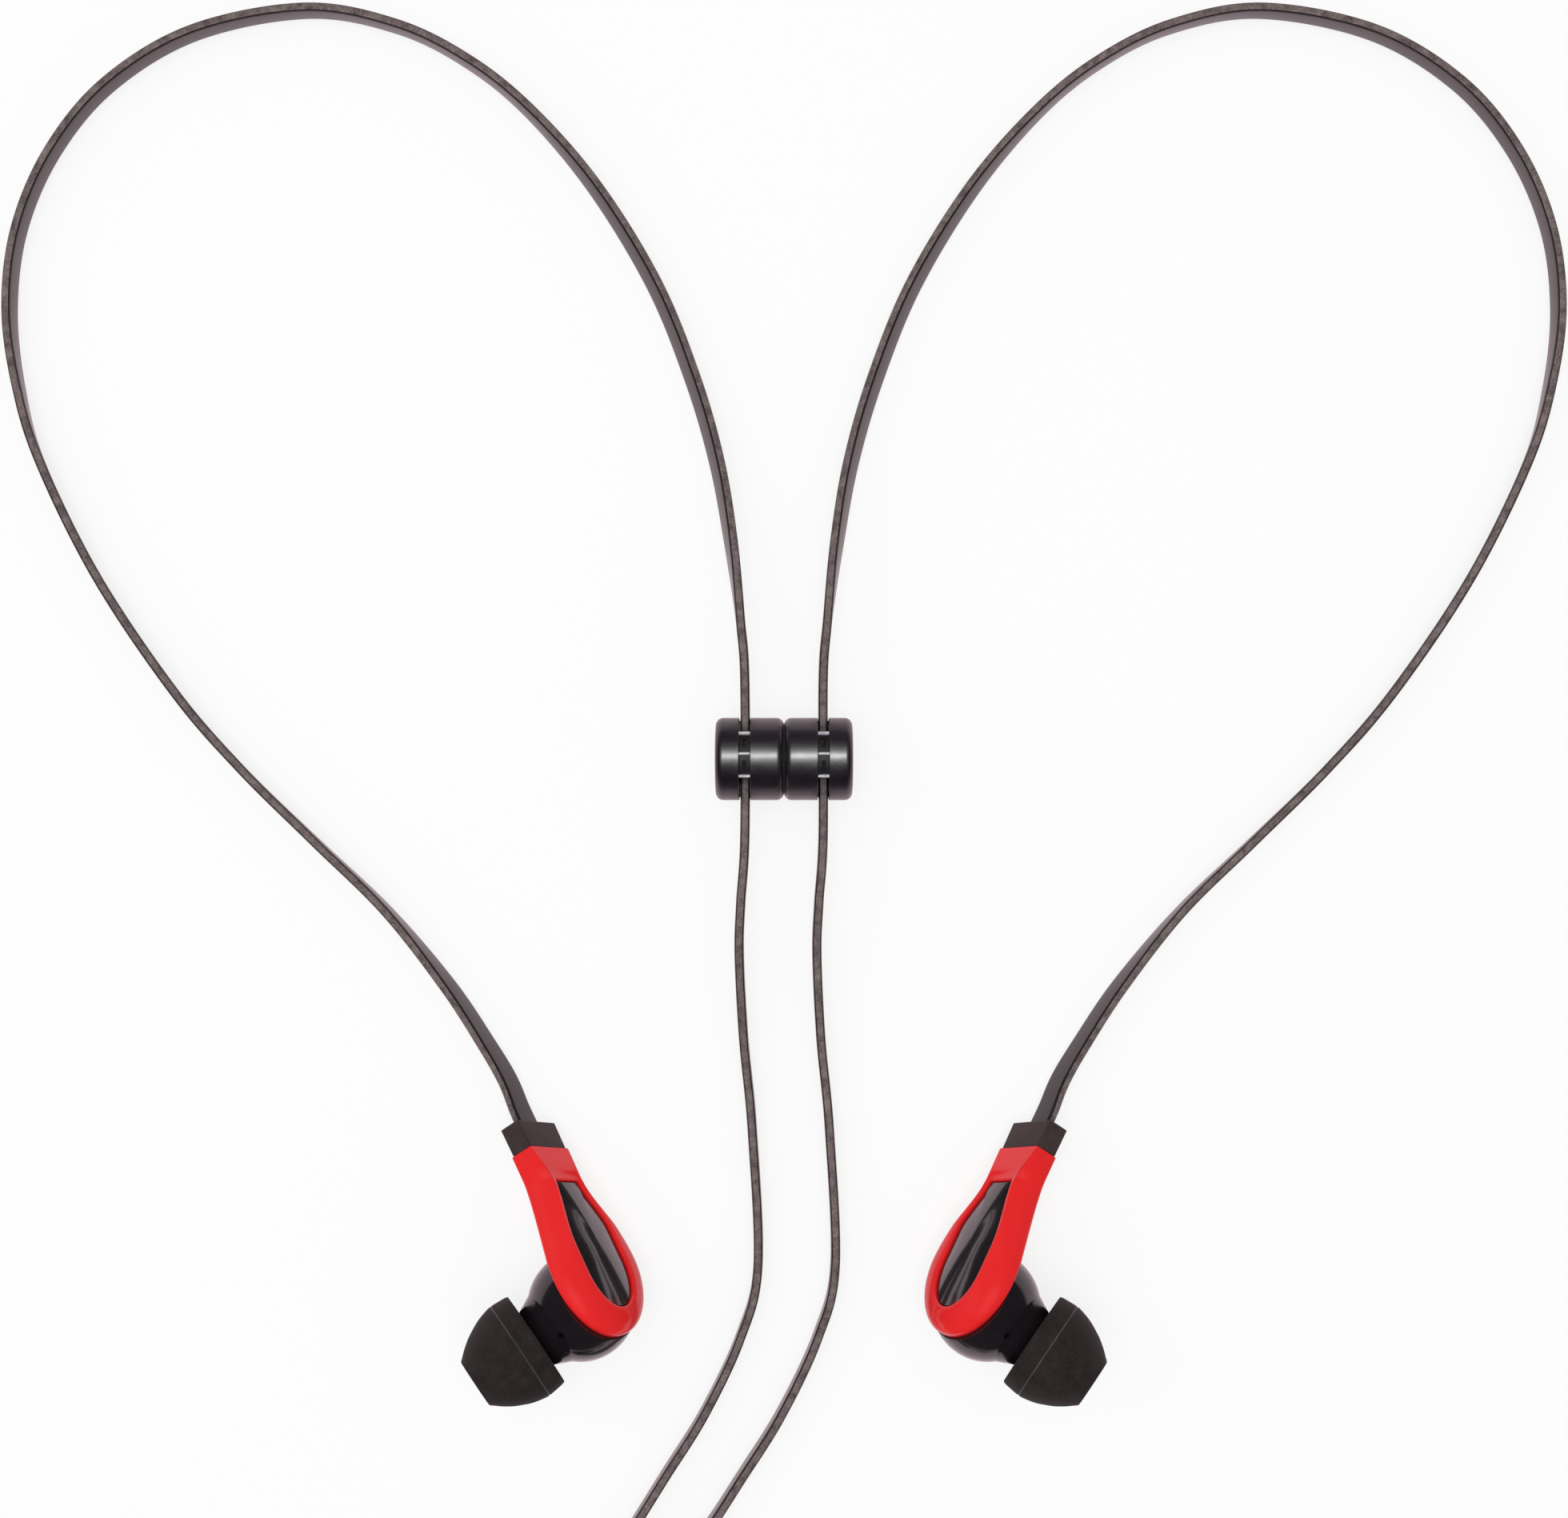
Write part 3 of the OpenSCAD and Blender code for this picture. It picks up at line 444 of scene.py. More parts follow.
def rubbed_group():
    """A mask of sparse soft marks, for dust and for places that hands have polished."""
    tree = bpy.data.node_groups.new("rubbed", "ShaderNodeTree")
    number_sockets(tree, {"Scale": 300.0, "Amount": 0.3}, ("Mask",))
    given = add_node(tree, "NodeGroupInput", -700)
    place = add_node(tree, "ShaderNodeTexCoord", -700, -200)
    noise = add_node(tree, "ShaderNodeTexNoise", -450)
    noise.inputs["Detail"].default_value = 6.0
    noise.inputs["Roughness"].default_value = 0.65
    start = add_node(tree, "ShaderNodeMath", -450, -250, operation="SUBTRACT")
    start.inputs[0].default_value = MARK_START
    above = add_node(tree, "ShaderNodeMath", -250, 0, operation="SUBTRACT")
    steep = add_node(tree, "ShaderNodeMath", -100, 0, operation="MULTIPLY", use_clamp=True)
    steep.inputs[1].default_value = MARK_STEEP
    out = add_node(tree, "NodeGroupOutput", 100)
    link = tree.links.new
    link(given.outputs["Scale"], noise.inputs["Scale"])
    link(given.outputs["Amount"], start.inputs[1])
    link(place.outputs["Object"], noise.inputs["Vector"])
    link(noise.outputs["Fac"], above.inputs[0])
    link(start.outputs[0], above.inputs[1])
    link(above.outputs[0], steep.inputs[0])
    link(steep.outputs[0], out.inputs["Mask"])
    return tree


FINE_GRAIN = fine_grain_group()
RUBBED = rubbed_group()


# %% [markdown]
# ### One recipe for all finishes
# A finish has two colours that the grain mixes, a range of roughness, a bump from the grain's
# height, and marks that lighten it here and there. Metals, rubbers and plastics differ only in
# those values, so one function builds them all.

# %% The finish recipe
def finish(name, dark, light, rough, grain=2500, contrast=1.2, bump=0.05, marks=0.0,
           mark_colour=(0.3, 0.3, 0.3), mark_scale=300, metallic=0.0, specular=0.5, coat=0.0,
           coat_rough=0.1):
    """A material of two linear colours mixed by the grain, with its gloss, bump and marks."""
    material = bpy.data.materials.new(name)
    material.use_nodes = True
    tree = material.node_tree
    shader = tree.nodes["Principled BSDF"]
    link = tree.links.new
    speckle = add_node(tree, "ShaderNodeGroup", -900, 100, node_tree=FINE_GRAIN)
    speckle.inputs["Scale"].default_value = grain
    speckle.inputs["Contrast"].default_value = contrast
    colour = add_node(tree, "ShaderNodeMix", -600, 200, data_type="RGBA")
    colour.inputs["A"].default_value = (*dark, 1)
    colour.inputs["B"].default_value = (*light, 1)
    link(speckle.outputs["Mask"], colour.inputs["Factor"])
    base = colour.outputs["Result"]
    if marks:
        worn = add_node(tree, "ShaderNodeGroup", -900, 400, node_tree=RUBBED)
        worn.inputs["Scale"].default_value = mark_scale
        worn.inputs["Amount"].default_value = marks
        over = add_node(tree, "ShaderNodeMix", -350, 300, data_type="RGBA")
        over.inputs["B"].default_value = (*mark_colour, 1)
        link(worn.outputs["Mask"], over.inputs["Factor"])
        link(base, over.inputs["A"])
        base = over.outputs["Result"]
    link(base, shader.inputs["Base Color"])
    gloss = add_node(tree, "ShaderNodeMapRange", -600, -100)
    gloss.inputs["To Min"].default_value = rough[0]
    gloss.inputs["To Max"].default_value = rough[1]
    link(speckle.outputs["Mask"], gloss.inputs["Value"])
    link(gloss.outputs["Result"], shader.inputs["Roughness"])
    relief = add_node(tree, "ShaderNodeBump", -600, -350)
    relief.inputs["Strength"].default_value = bump
    relief.inputs["Distance"].default_value = BUMP_DEPTH
    link(speckle.outputs["Height"], relief.inputs["Height"])
    link(relief.outputs["Normal"], shader.inputs["Normal"])
    shader.inputs["Metallic"].default_value = metallic
    shader.inputs["Specular IOR Level"].default_value = specular
    shader.inputs["Coat Weight"].default_value = coat
    shader.inputs["Coat Roughness"].default_value = coat_rough
    return material


# %% [markdown]
# ## The finishes
# Colours are linear values. The shells are satin red, the inlays and bodies gloss black, the
# tips and strain reliefs matte and slightly dusty, the cord dark grey on its flat sides and a brown grey
# with a fine fleck on its rounded edges, where the lighter brown grey is a painted highlight.

# %% Make the finishes
red_shell = finish("red_shell", (0.77, 0.010, 0.012), (0.82, 0.015, 0.016), (0.6, 0.7), 900, 1.0,
                   0.02, marks=0.1, mark_colour=(0.86, 0.05, 0.045), mark_scale=90, specular=0.2, coat=1.0,
                   coat_rough=0.15)
black_inlay = finish("black_inlay", (0.009, 0.007, 0.009), (0.013, 0.010, 0.012), (0.12, 0.17), 500, 1.0,
                     0.01, specular=0.9, coat=1.0, coat_rough=0.07)
black_body = finish("black_body", (0.008, 0.006, 0.008), (0.012, 0.009, 0.011), (0.12, 0.2), 700, 1.0,
                    0.015, coat=0.3, coat_rough=0.1)
soft_silicone = finish("soft_silicone", (0.016, 0.0115, 0.012), (0.030, 0.022, 0.022), (0.6, 0.75), 3000,
                       1.4, 0.25, marks=0.2, mark_colour=(0.05, 0.04, 0.038), mark_scale=500,
                       specular=0.22)
seam_silicone = finish("seam_silicone", (0.035, 0.03, 0.03), (0.07, 0.062, 0.06), (0.5, 0.65), 1500, 1.6,
                       0.1)
soft_relief = finish("soft_relief", (0.035, 0.020, 0.020), (0.056, 0.034, 0.033), (0.5, 0.65), 2600,
                     1.4, 0.2, marks=0.2, mark_colour=(0.085, 0.07, 0.065), mark_scale=450)
cord_grey = finish("cord_grey", (0.016, 0.011, 0.012), (0.024, 0.018, 0.019), (0.2, 0.28), 1900,
                   1.2, 0.03, marks=0.06, mark_colour=(0.08, 0.065, 0.065), mark_scale=900,
                   specular=0.8)
# The rounded edges are painted a lighter brown grey than the flat sides: a painted highlight along the lit
# edge. The fleck and marks are the cord's own.
cord_edge_fleck_and_highlight = finish("cord_edge_fleck_and_highlight", (0.075, 0.055, 0.055), (0.21, 0.165, 0.16), (0.4, 0.55), 4200,
                   1.8, 0.2, marks=0.2, mark_colour=(0.36, 0.31, 0.29), mark_scale=1800, specular=0.35)
bead_paint = finish("bead_paint", (0.003, 0.001, 0.004), (0.007, 0.002, 0.008), (0.36, 0.44), 2600,
                    1.6, 0.06, specular=0.8, coat=0.35, coat_rough=0.24)
clip_plastic = finish("clip_plastic", (0.004, 0.003, 0.004), (0.007, 0.005, 0.007), (0.5, 0.6), 2000, 1.2,
                      0.04, specular=0.3)
# The clip bars' light grey is a painted highlight: it stands in for the shine the bars catch.
clip_bar_painted_highlight = finish("clip_bar_painted_highlight", (0.30, 0.28, 0.32), (0.42, 0.39, 0.44), (0.12, 0.2), 2000, 1.0,
                        0.03, specular=1.0, coat=0.6)
screen_steel = finish("screen_steel", (0.45, 0.45, 0.46), (0.6, 0.6, 0.61), (0.28, 0.4), 3000, 1.3, 0.1,
                      metallic=1.0)
plated_magnet = finish("plated_magnet", (0.55, 0.55, 0.57), (0.66, 0.66, 0.68), (0.16, 0.26), 1200, 1.1,
                       0.04, metallic=1.0)
driver_film = finish("driver_film", (0.46, 0.36, 0.2), (0.6, 0.5, 0.3), (0.25, 0.35), 900, 1.0, 0.05)
copper_wire = finish("copper_wire", (0.62, 0.27, 0.13), (0.8, 0.42, 0.24), (0.25, 0.4), 3000, 1.5, 0.3,
                     metallic=1.0)
green_board = finish("green_board", (0.02, 0.15, 0.05), (0.035, 0.22, 0.09), (0.35, 0.5), 1500, 1.0, 0.05)
gold_plate = finish("gold_plate", (0.78, 0.54, 0.2), (0.9, 0.66, 0.3), (0.14, 0.24), 1500, 1.2, 0.03,
                    metallic=1.0)
ring_plastic = finish("ring_plastic", (0.012, 0.012, 0.013), (0.02, 0.02, 0.021), (0.45, 0.6), 2000, 1.0,
                      0.08)
plug_plastic = finish("plug_plastic", (0.014, 0.011, 0.013), (0.024, 0.02, 0.022), (0.36, 0.5), 2200,
                      1.2, 0.12)
print("materials, with the solids' own:", len(bpy.data.materials))

# %% Paint the cords
for piece in (left_cord, right_cord, lead):
    piece.data.materials.append(cord_grey)
    piece.data.materials.append(cord_edge_fleck_and_highlight)
    # Faces outside FLAT_SIDE, the rounded edges, get the lighter finish, which is a painted highlight.
    for face in piece.data.polygons:
        face.material_index = int(face.index % SECTION_N % (SECTION_N // 2) not in FLAT_SIDE)

# %% [markdown]
# ## The shell
# The shell is the earbud's red frame: a straight stem that widens into a round head, with a
# flat face at the stem and a broad sloping band round the inlay. Its outline comes from a
# few widths and an easing curve. The rings go up the back, round the band, over the lip and
# down into the recess, so the crease from the stem's corner to the inlay is where two rings
# part, as on the real moulding.

# %% Outlines of shell and inlay
STEM_W, HEAD_R, HEAD_SHIFT = 5.8, 5.9, 0.3
HEAD_Y, NECK_Y, SHIFT_Y, SHIFT_L = 1.5, 14.5, 13, 8
INLAY_TOP_HW, INLAY_HW, INLAY_TOP, INLAY_TOE, INLAY_DEPTH = 1.6, 3.2, 12.9, 3.0, 1.1
INLAY_SHIFT = 0.6
INLAY_WIDE_Y, TAPER_Y, TAPER_L = 2, 5.5, 8
RIM_DROP, RIM_DROP_TOP, RIM_DROP_L, LIP, FIT = 1.3, 0.12, 7, 0.6, 0.1
END_SLOPE, SLOPE_FROM, SLOPE_L = -0.28, 6, 6
BACK_Y = 5.5
SIDE_N, TOE_N = 66, 42
CREASE_Y = INLAY_TOP + LIP
BACK_SLOPE = (SHELL_T - SHELL_TOE_T) / (BACK_Y + HEAD_R)


def outer_hw(y):
    return mix(HEAD_R, STEM_W / 2, ease((y - HEAD_Y) / (NECK_Y - HEAD_Y)))


def inlay_side(y):
    return mix(INLAY_HW, INLAY_TOP_HW, ease((y - TAPER_Y) / TAPER_L))


def down(top, bottom):
    return [mix(top, bottom, i / SIDE_N) for i in range(SIDE_N + 1)]


def toe_arc(wide_y, half_width, low, shift):
    """The right half of the toe, as (half width, height, sideways offset)."""
    turns = [math.pi / 2 * i / TOE_N for i in range(1, TOE_N + 1)]
    return [(half_width * math.cos(a), wide_y - (wide_y + low) * math.sin(a), shift) for a in turns]


def outer_right():
    return [(outer_hw(y), y, HEAD_SHIFT * ease((SHIFT_Y - y) / SHIFT_L)) for y in down(STEM_TOP, HEAD_Y)
            ] + toe_arc(HEAD_Y, HEAD_R, HEAD_R, HEAD_SHIFT)


def rim_right():
    """The lip's outer edge: round the inlay, and above it out to the stem's corners."""
    points = []
    for y in down(STEM_TOP, INLAY_WIDE_Y):
        up = max(0.0, (y - CREASE_Y) / (STEM_TOP - CREASE_Y))
        points.append((mix(inlay_side(min(y, CREASE_Y)) + LIP, STEM_W / 2, up), y, INLAY_SHIFT * (1 - up)))
    return points + toe_arc(INLAY_WIDE_Y, INLAY_HW + LIP, INLAY_TOE + LIP, INLAY_SHIFT)


def inlay_right(grow):
    return [(inlay_side(y) + grow, y, INLAY_SHIFT) for y in down(INLAY_TOP + grow, INLAY_WIDE_Y)
            ] + toe_arc(INLAY_WIDE_Y, INLAY_HW + grow, INLAY_TOE + grow, INLAY_SHIFT)


def both_sides(right):
    """The whole ring from its right half, leaning at the stem's end."""
    ring = [(shift + x, y) for x, y, shift in right] + [(shift - x, y) for x, y, shift in right[-2::-1]]
    return [(x, y + END_SLOPE * x * max(0.0, min(1.0, (y - SLOPE_FROM) / SLOPE_L))) for x, y in ring]


def back_z(y):
    return -SHELL_T + BACK_SLOPE * max(0.0, BACK_Y - y)


def rim_drop(y):
    """How far the band falls away from the lip, least at the stem's end."""
    return mix(RIM_DROP_TOP, RIM_DROP, ease((STEM_TOP - y) / RIM_DROP_L))


def edge_share(i):
    """0 down the side that rolls off softly, 1 down the side that leaves the lip at an edge."""
    return ease((i - SIDE_N) / (2 * TOE_N))


# %% Build the shells
LIP_ROUND, LIP_SHARE, LIP_N = 0.25, 0.5, 5
BACK_ROUND = ((0.12, 0.0), (0.04, 0.04), (0.0, 0.12))
BAND_DEPTH = 0.9
BAND_STEPS = (1, 0.985, 0.95, 0.9, 0.82, 0.74, 0.66, 0.58, 0.5, 0.42, 0.34, 0.26, 0.18, 0.11, 0.06, 0.025, 0)


def shell_rings():
    """From the back's rounded edge up over the band, the lip and into the recess."""
    outer = both_sides(outer_right())
    rim = both_sides(rim_right())
    opening = both_sides(inlay_right(FIT))
    rings = []
    for inset, lift in BACK_ROUND:
        rings.append([(x * (1 - inset / HEAD_R), y * (1 - inset / STEM_TOP), back_z(y) + lift)
                      for x, y in outer])
    for u in BAND_STEPS:
        ring = []
        for i, (r, o) in enumerate(zip(rim, outer)):
            share, thick, t = edge_share(i), -back_z(o[1]), u * (2 - u)
            low = mix(rim_drop(o[1]), BAND_DEPTH * thick, share)
            ring.append((mix(r[0], o[0], t), mix(r[1], o[1], t), -u * (1 - u) * share * thick - u * u * low))
        rings.append(ring)
    bend = [math.pi / 2 * k / LIP_N for k in range(LIP_N + 1)]
    fillet = [(1 - LIP_SHARE * (1 - math.sin(a)), -LIP_ROUND * (1 - math.cos(a))) for a in bend]
    for t, z in fillet + [(1.0, -INLAY_DEPTH)]:
        rings.append([(mix(r[0], o[0], t), mix(r[1], o[1], t), z) for r, o in zip(rim, opening)])
    return rings


for side in SIDES:
    rings = [[in_bud(p, side) for p in ring] for ring in shell_rings()]
    shell = skin(side + "_shell_skin", rings, sharp_degrees=24)
    shell.data.materials.append(red_shell)
    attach(shell, "earphones")
    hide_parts(side + "_shell")
print("shell points:", len(shell.data.vertices))

# %% [markdown]
# ## The inlay
# The inlay is a gloss black drop set into the shell, a hair's width smaller all round, so a
# fine dark line shows at its edge. Its rings shrink towards the middle while they rise, which
# gives the dome its long soft reflections.

# %% Build the inlays
INLAY_EDGE, INLAY_DOME, INLAY_MIDDLE = -0.35, 0.5, 4.5
EDGE_STEP = 0.12
DOME_RINGS, DOME_STEPS = 15, 14.6       # the last ring stays just short of the middle


def inlay_rings():
    edge = both_sides(inlay_right(-FIT))
    rings = [[(x, y, z) for x, y in edge] for z in (-INLAY_DEPTH, INLAY_EDGE - EDGE_STEP)]
    for step in range(DOME_RINGS):
        shrink = math.cos(math.pi / 2 * step / DOME_STEPS)
        rings.append([(mix(INLAY_SHIFT, x, shrink), mix(INLAY_MIDDLE, y, shrink),
                       INLAY_EDGE + INLAY_DOME * (1 - shrink * shrink)) for x, y in edge])
    return rings


for side in SIDES:
    rings = [[in_bud(p, side) for p in ring] for ring in inlay_rings()]
    inlay = skin(side + "_inlay_dome", rings, sharp_degrees=40)
    inlay.data.materials.append(black_inlay)
    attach(inlay, "earphones")
    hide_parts(side + "_inlay")

# %% [markdown]
# ## The ear tip
# The tip is a soft dome turned inside out over its own sleeve. It is a lathe: the outline
# goes from the rim over a faint moulding seam to the flat front, into the bore, back along
# the sleeve and round inside the skirt. A spline through a few points keeps it round.

# %% Build the ear tips
TIP_START, TIP_R, TIP_L, TIP_WALL = 6.5, 6.1, 8.4, 0.9
TIP_HOLE = 2.9
SEAM_AT, SEAM_DEPTH, SEAM_WIDTH = 0.262, 0.05, 0.06
TIP_STEP = 0.3
LATHE_N = 96


def tip_profile():
    """The tip's outline as (radius, distance from its rim)."""
    outside = [(0.955, 0.0), (0.975, 0.04), (0.985, 0.11), (0.996, 0.2), (1.0, SEAM_AT), (0.993, 0.32),
               (0.95, 0.45), (0.9, 0.55), (0.84, 0.64), (0.77, 0.735), (0.7, 0.81), (0.62, 0.885),
               (0.54, 0.95), (0.5, 0.985), (0.47, 1.0)]
    smooth = spline([(TIP_R * r, TIP_L * z, 0) for r, z in outside], TIP_STEP)
    seam = TIP_L * SEAM_AT
    profile = []
    for r, z, _ in smooth:
        groove = SEAM_DEPTH * math.exp(-((z - seam) / SEAM_WIDTH) ** 2)
        profile.append((r - groove, z))
    profile += [(TIP_R - drop, seam + off) for off, drop in (
        (-0.12, 0), (-0.05, SEAM_DEPTH), (0.05, SEAM_DEPTH), (0.12, 0.01))]
    profile.sort(key=lambda p: p[1])
    inside = [(TIP_HOLE - 0.9, TIP_L), (TIP_HOLE - 1, TIP_L - 0.1), (TIP_HOLE - 1, TIP_L - 0.7),
              (TIP_HOLE, TIP_L - 0.9), (TIP_HOLE, 0.5), (TIP_HOLE + 0.3, 0.4), (TIP_HOLE + 0.63, 0.5),
              (TIP_HOLE + 0.63, TIP_L * 0.7), (TIP_R * 0.63, TIP_L * 0.68),
              (TIP_R * 0.84 - TIP_WALL, TIP_L * 0.5), (TIP_R - TIP_WALL, TIP_L * 0.26),
              (TIP_R * 0.985 - TIP_WALL, TIP_L * 0.11), (TIP_R * 0.955 - TIP_WALL * 0.8, 0.08),
              (TIP_R * 0.955 - 0.3, 0.0)]
    return profile + inside


def lathe(name, profile, place):
    """A closed ring of material from a closed outline turned about an axis."""
    points = []
    for k in range(LATHE_N):
        a = 2 * math.pi * k / LATHE_N
        points += [place((r * math.cos(a), r * math.sin(a), z)) for r, z in profile]
    quads = skin_faces(LATHE_N + 1, len(profile))
    faces = [tuple(v % len(points) for v in quad) for quad in quads]
    return new_piece(name, points, faces, sharp_degrees=40)


TIP_OUTLINE = tip_profile()
SEAM_FACES = [i for i, (r, z) in enumerate(TIP_OUTLINE)
              if r > TIP_R - 0.2 and abs(z - TIP_L * SEAM_AT) < SEAM_WIDTH]

for side in SIDES:
    tip = lathe(side + "_tip_silicone", TIP_OUTLINE,
                lambda p, side=side: in_bud((p[0], p[1], p[2] + TIP_START), side, nozzle_matrix))
    for material in (soft_silicone, seam_silicone):
        tip.data.materials.append(material)
    for face in tip.data.polygons:
        face.material_index = int(face.index % len(TIP_OUTLINE) in SEAM_FACES)
    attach(tip, side + "_tip")
    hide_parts(side + "_ear_tip")

# %% [markdown]
# ## The clasp
# Each half of the clasp is a round bead with a slot for the cord. Its rings are circles, except
# in the slot, where the upper part of each circle drops to the slot's flat floor. A small clip
# in the slot holds the cord: a plate with two windows, and three bars across it, whose light grey is a
# painted highlight.

# %% Build the beads
BEAD_R, BEAD_L, BEAD_EDGE, TOUCH = 4.85, 8.0, 0.9, 0.02
MEET = TOUCH - 0.002        # the dressed beads reach on until 0.002 mm from the middle
SLOT_W, SLOT_FLOOR = 1.3, -1.7
SLOT_AT = 4.6 - TOUCH
SLOT_LOW, SLOT_HIGH, SLOT_BREAK = SLOT_AT - SLOT_W / 2, SLOT_AT + SLOT_W / 2, 0.06
POCKET_R, POCKET_L = 3.4, 2.5
BEAD_N, BEAD_EDGE_N = 128, 8


def in_bead(x, y, z, side):
    """A bead's own frame has z along its axis, away from the other bead, and x upwards."""
    return (-(TOUCH + z) * MM * SIDES[side], CLASP_Y + y * MM, (BEAD_R + x) * MM)


def round_ring(r, z):
    turns = [2 * math.pi * (i + 0.5) / BEAD_N - math.pi for i in range(BEAD_N)]
    return [(r * math.cos(a), r * math.sin(a), z) for a in turns]


def slot_ring(z):
    """A circle with its upper part pressed down to the slot's floor."""
    corner = math.acos(SLOT_FLOOR / BEAD_R)
    half = BEAD_R * math.sin(corner)
    ring = []
    for x, y, _ in round_ring(BEAD_R, z):
        a = math.atan2(y, x)
        ring.append((SLOT_FLOOR, half * a / corner, z) if abs(a) < corner else (x, y, z))
    return ring


def bead_rings():
    """From the magnet's pocket out round the inner edge, over the slot and to the far end."""
    turns = [math.pi / 2 * k / BEAD_EDGE_N for k in range(BEAD_EDGE_N + 1)]
    bend = [(math.sin(a), 1 - math.cos(a)) for a in turns]
    inner = [(POCKET_R, POCKET_L), (POCKET_R, -MEET)]
    inner += [(BEAD_R - BEAD_EDGE + BEAD_EDGE * s, BEAD_EDGE * c - MEET) for s, c in bend]
    outer = [(BEAD_R - BEAD_EDGE + BEAD_EDGE * s, BEAD_L - BEAD_EDGE * c) for s, c in bend[::-1]]
    inner += [(BEAD_R, SLOT_LOW - SLOT_BREAK), (BEAD_R - SLOT_BREAK, SLOT_LOW)]
    outer = [(BEAD_R - SLOT_BREAK, SLOT_HIGH), (BEAD_R, SLOT_HIGH + SLOT_BREAK)] + outer
    return ([round_ring(r, z) for r, z in inner] + [slot_ring(SLOT_LOW), slot_ring(SLOT_HIGH)]
            + [round_ring(r, z) for r, z in outer])


for side in SIDES:
    rings = [[in_bead(*p, side) for p in ring] for ring in bead_rings()]
    bead = skin(side + "_bead_round", rings, round_caps=True)
    bead.data.materials.append(bead_paint)
    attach(bead, side + "_bead")
    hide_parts(side + "_bead_shell")

# %% Build the clips
CLIP_ROLL, CLIP_STEP, CLIP_BAR = 8, 34, 5
CLIP_INNER, CLIP_PLATE, CLIP_BAR_T, CLIP_RAIL = BEAD_R - 0.75, 0.25, 0.6, 0.42
CLIP_WINDOW = CLIP_STEP - 4 * CLIP_BAR
ARC_STEP, BAR_N = 3, 12


def arc_block(start, stop, low, high):
    """Rings of a strip of the clip's plate, bent round the bead between two angles."""
    steps = max(2, round(abs(stop - start) / ARC_STEP))
    outside = CLIP_INNER + CLIP_PLATE
    rings = []
    for k in range(steps + 1):
        a = math.radians(mix(start, stop, k / steps))
        rings.append([(r * math.cos(a), r * math.sin(a), z) for r, z in (
            (CLIP_INNER, low), (outside, low), (outside, high), (CLIP_INNER, high))])
    return rings


def bar_rings(angle):
    """Rings of a bar with a round back, from one wall of the slot to the other."""
    c, s = math.cos(math.radians(angle)), math.sin(math.radians(angle))
    half = CLIP_INNER * math.radians(CLIP_BAR) / 2
    outline = [(CLIP_INNER, -half)]
    outline += [(CLIP_INNER + CLIP_BAR_T - half + half * math.cos(a), half * math.sin(a))
                for a in (math.radians(-90 + 180 * k / BAR_N) for k in range(BAR_N + 1))]
    outline += [(CLIP_INNER, half)]
    return [[(r * c - t * s, r * s + t * c, z) for r, t in outline] for z in (SLOT_LOW, SLOT_HIGH)]


def clip_blocks():
    """The clip's matte plate, in strips round its two windows, and its three gloss bars, painted light grey
    as a painted highlight.
    """
    rail_in, rail_out = SLOT_LOW + CLIP_RAIL, SLOT_HIGH - CLIP_RAIL
    first = CLIP_ROLL - CLIP_STEP
    ends = [first - CLIP_BAR / 2, first + 2 * CLIP_STEP + CLIP_BAR / 2]
    middles = [first + (k + 0.5) * CLIP_STEP for k in (0, 1)]
    windows = [(m - CLIP_WINDOW / 2, m + CLIP_WINDOW / 2) for m in middles]
    plates = [arc_block(*ends, *edges) for edges in ((SLOT_LOW, rail_in), (rail_out, SLOT_HIGH))]
    for start, stop in ((ends[0], windows[0][0]), (windows[0][1], windows[1][0]), (windows[1][1], ends[1])):
        plates.append(arc_block(start, stop, rail_in, rail_out))
    bars = [bar_rings(first + k * CLIP_STEP) for k in range(3)]
    return plates, bars


for side in SIDES:
    points, faces, paints = [], [], []
    for paint, blocks in enumerate(clip_blocks()):
        for block in blocks:
            first, size = len(points), len(block[0])
            points += [in_bead(*p, side) for ring in block for p in ring]
            new = skin_faces(len(block), size, first)
            new += [tuple(range(at, at + size)) for at in (first, first + (len(block) - 1) * size)]
            faces += new
            paints += [paint] * len(new)
    clip = new_piece(side + "_clip_ladder", points, faces, sharp_degrees=40)
    for material in (clip_plastic, clip_bar_painted_highlight):
        clip.data.materials.append(material)
    clip.data.polygons.foreach_set("material_index", paints)
    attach(clip, side + "_bead")
    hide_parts(side + "_bead_clip")

# %% [markdown]
# ## Pieces that keep their solids
# Turned, drilled and boxy pieces already have the right shape. They get their finish and,
# where edges are sharp, a small bevel that catches the light. The weld comes first because
# the imported faces don't share their points.

# %% Dress the solids
WELD_REACH = 0.000002
BEVEL_FROM, BEVEL_SEGMENTS = math.radians(35), 3


def dress(node_name, material, bevel_mm):
    """Give a solid its finish, join its faces and bevel its sharp edges."""
    piece = frame["nodes"][node_name]
    piece.data.materials.clear()
    piece.data.materials.append(material)
    weld = piece.modifiers.new("weld", "WELD")
    weld.merge_threshold = WELD_REACH
    if bevel_mm:
        bevel = piece.modifiers.new("edge", "BEVEL")
        bevel.width = bevel_mm * MM
        bevel.segments = BEVEL_SEGMENTS
        bevel.limit_method = "ANGLE"
        bevel.angle_limit = BEVEL_FROM
        bevel.harden_normals = True


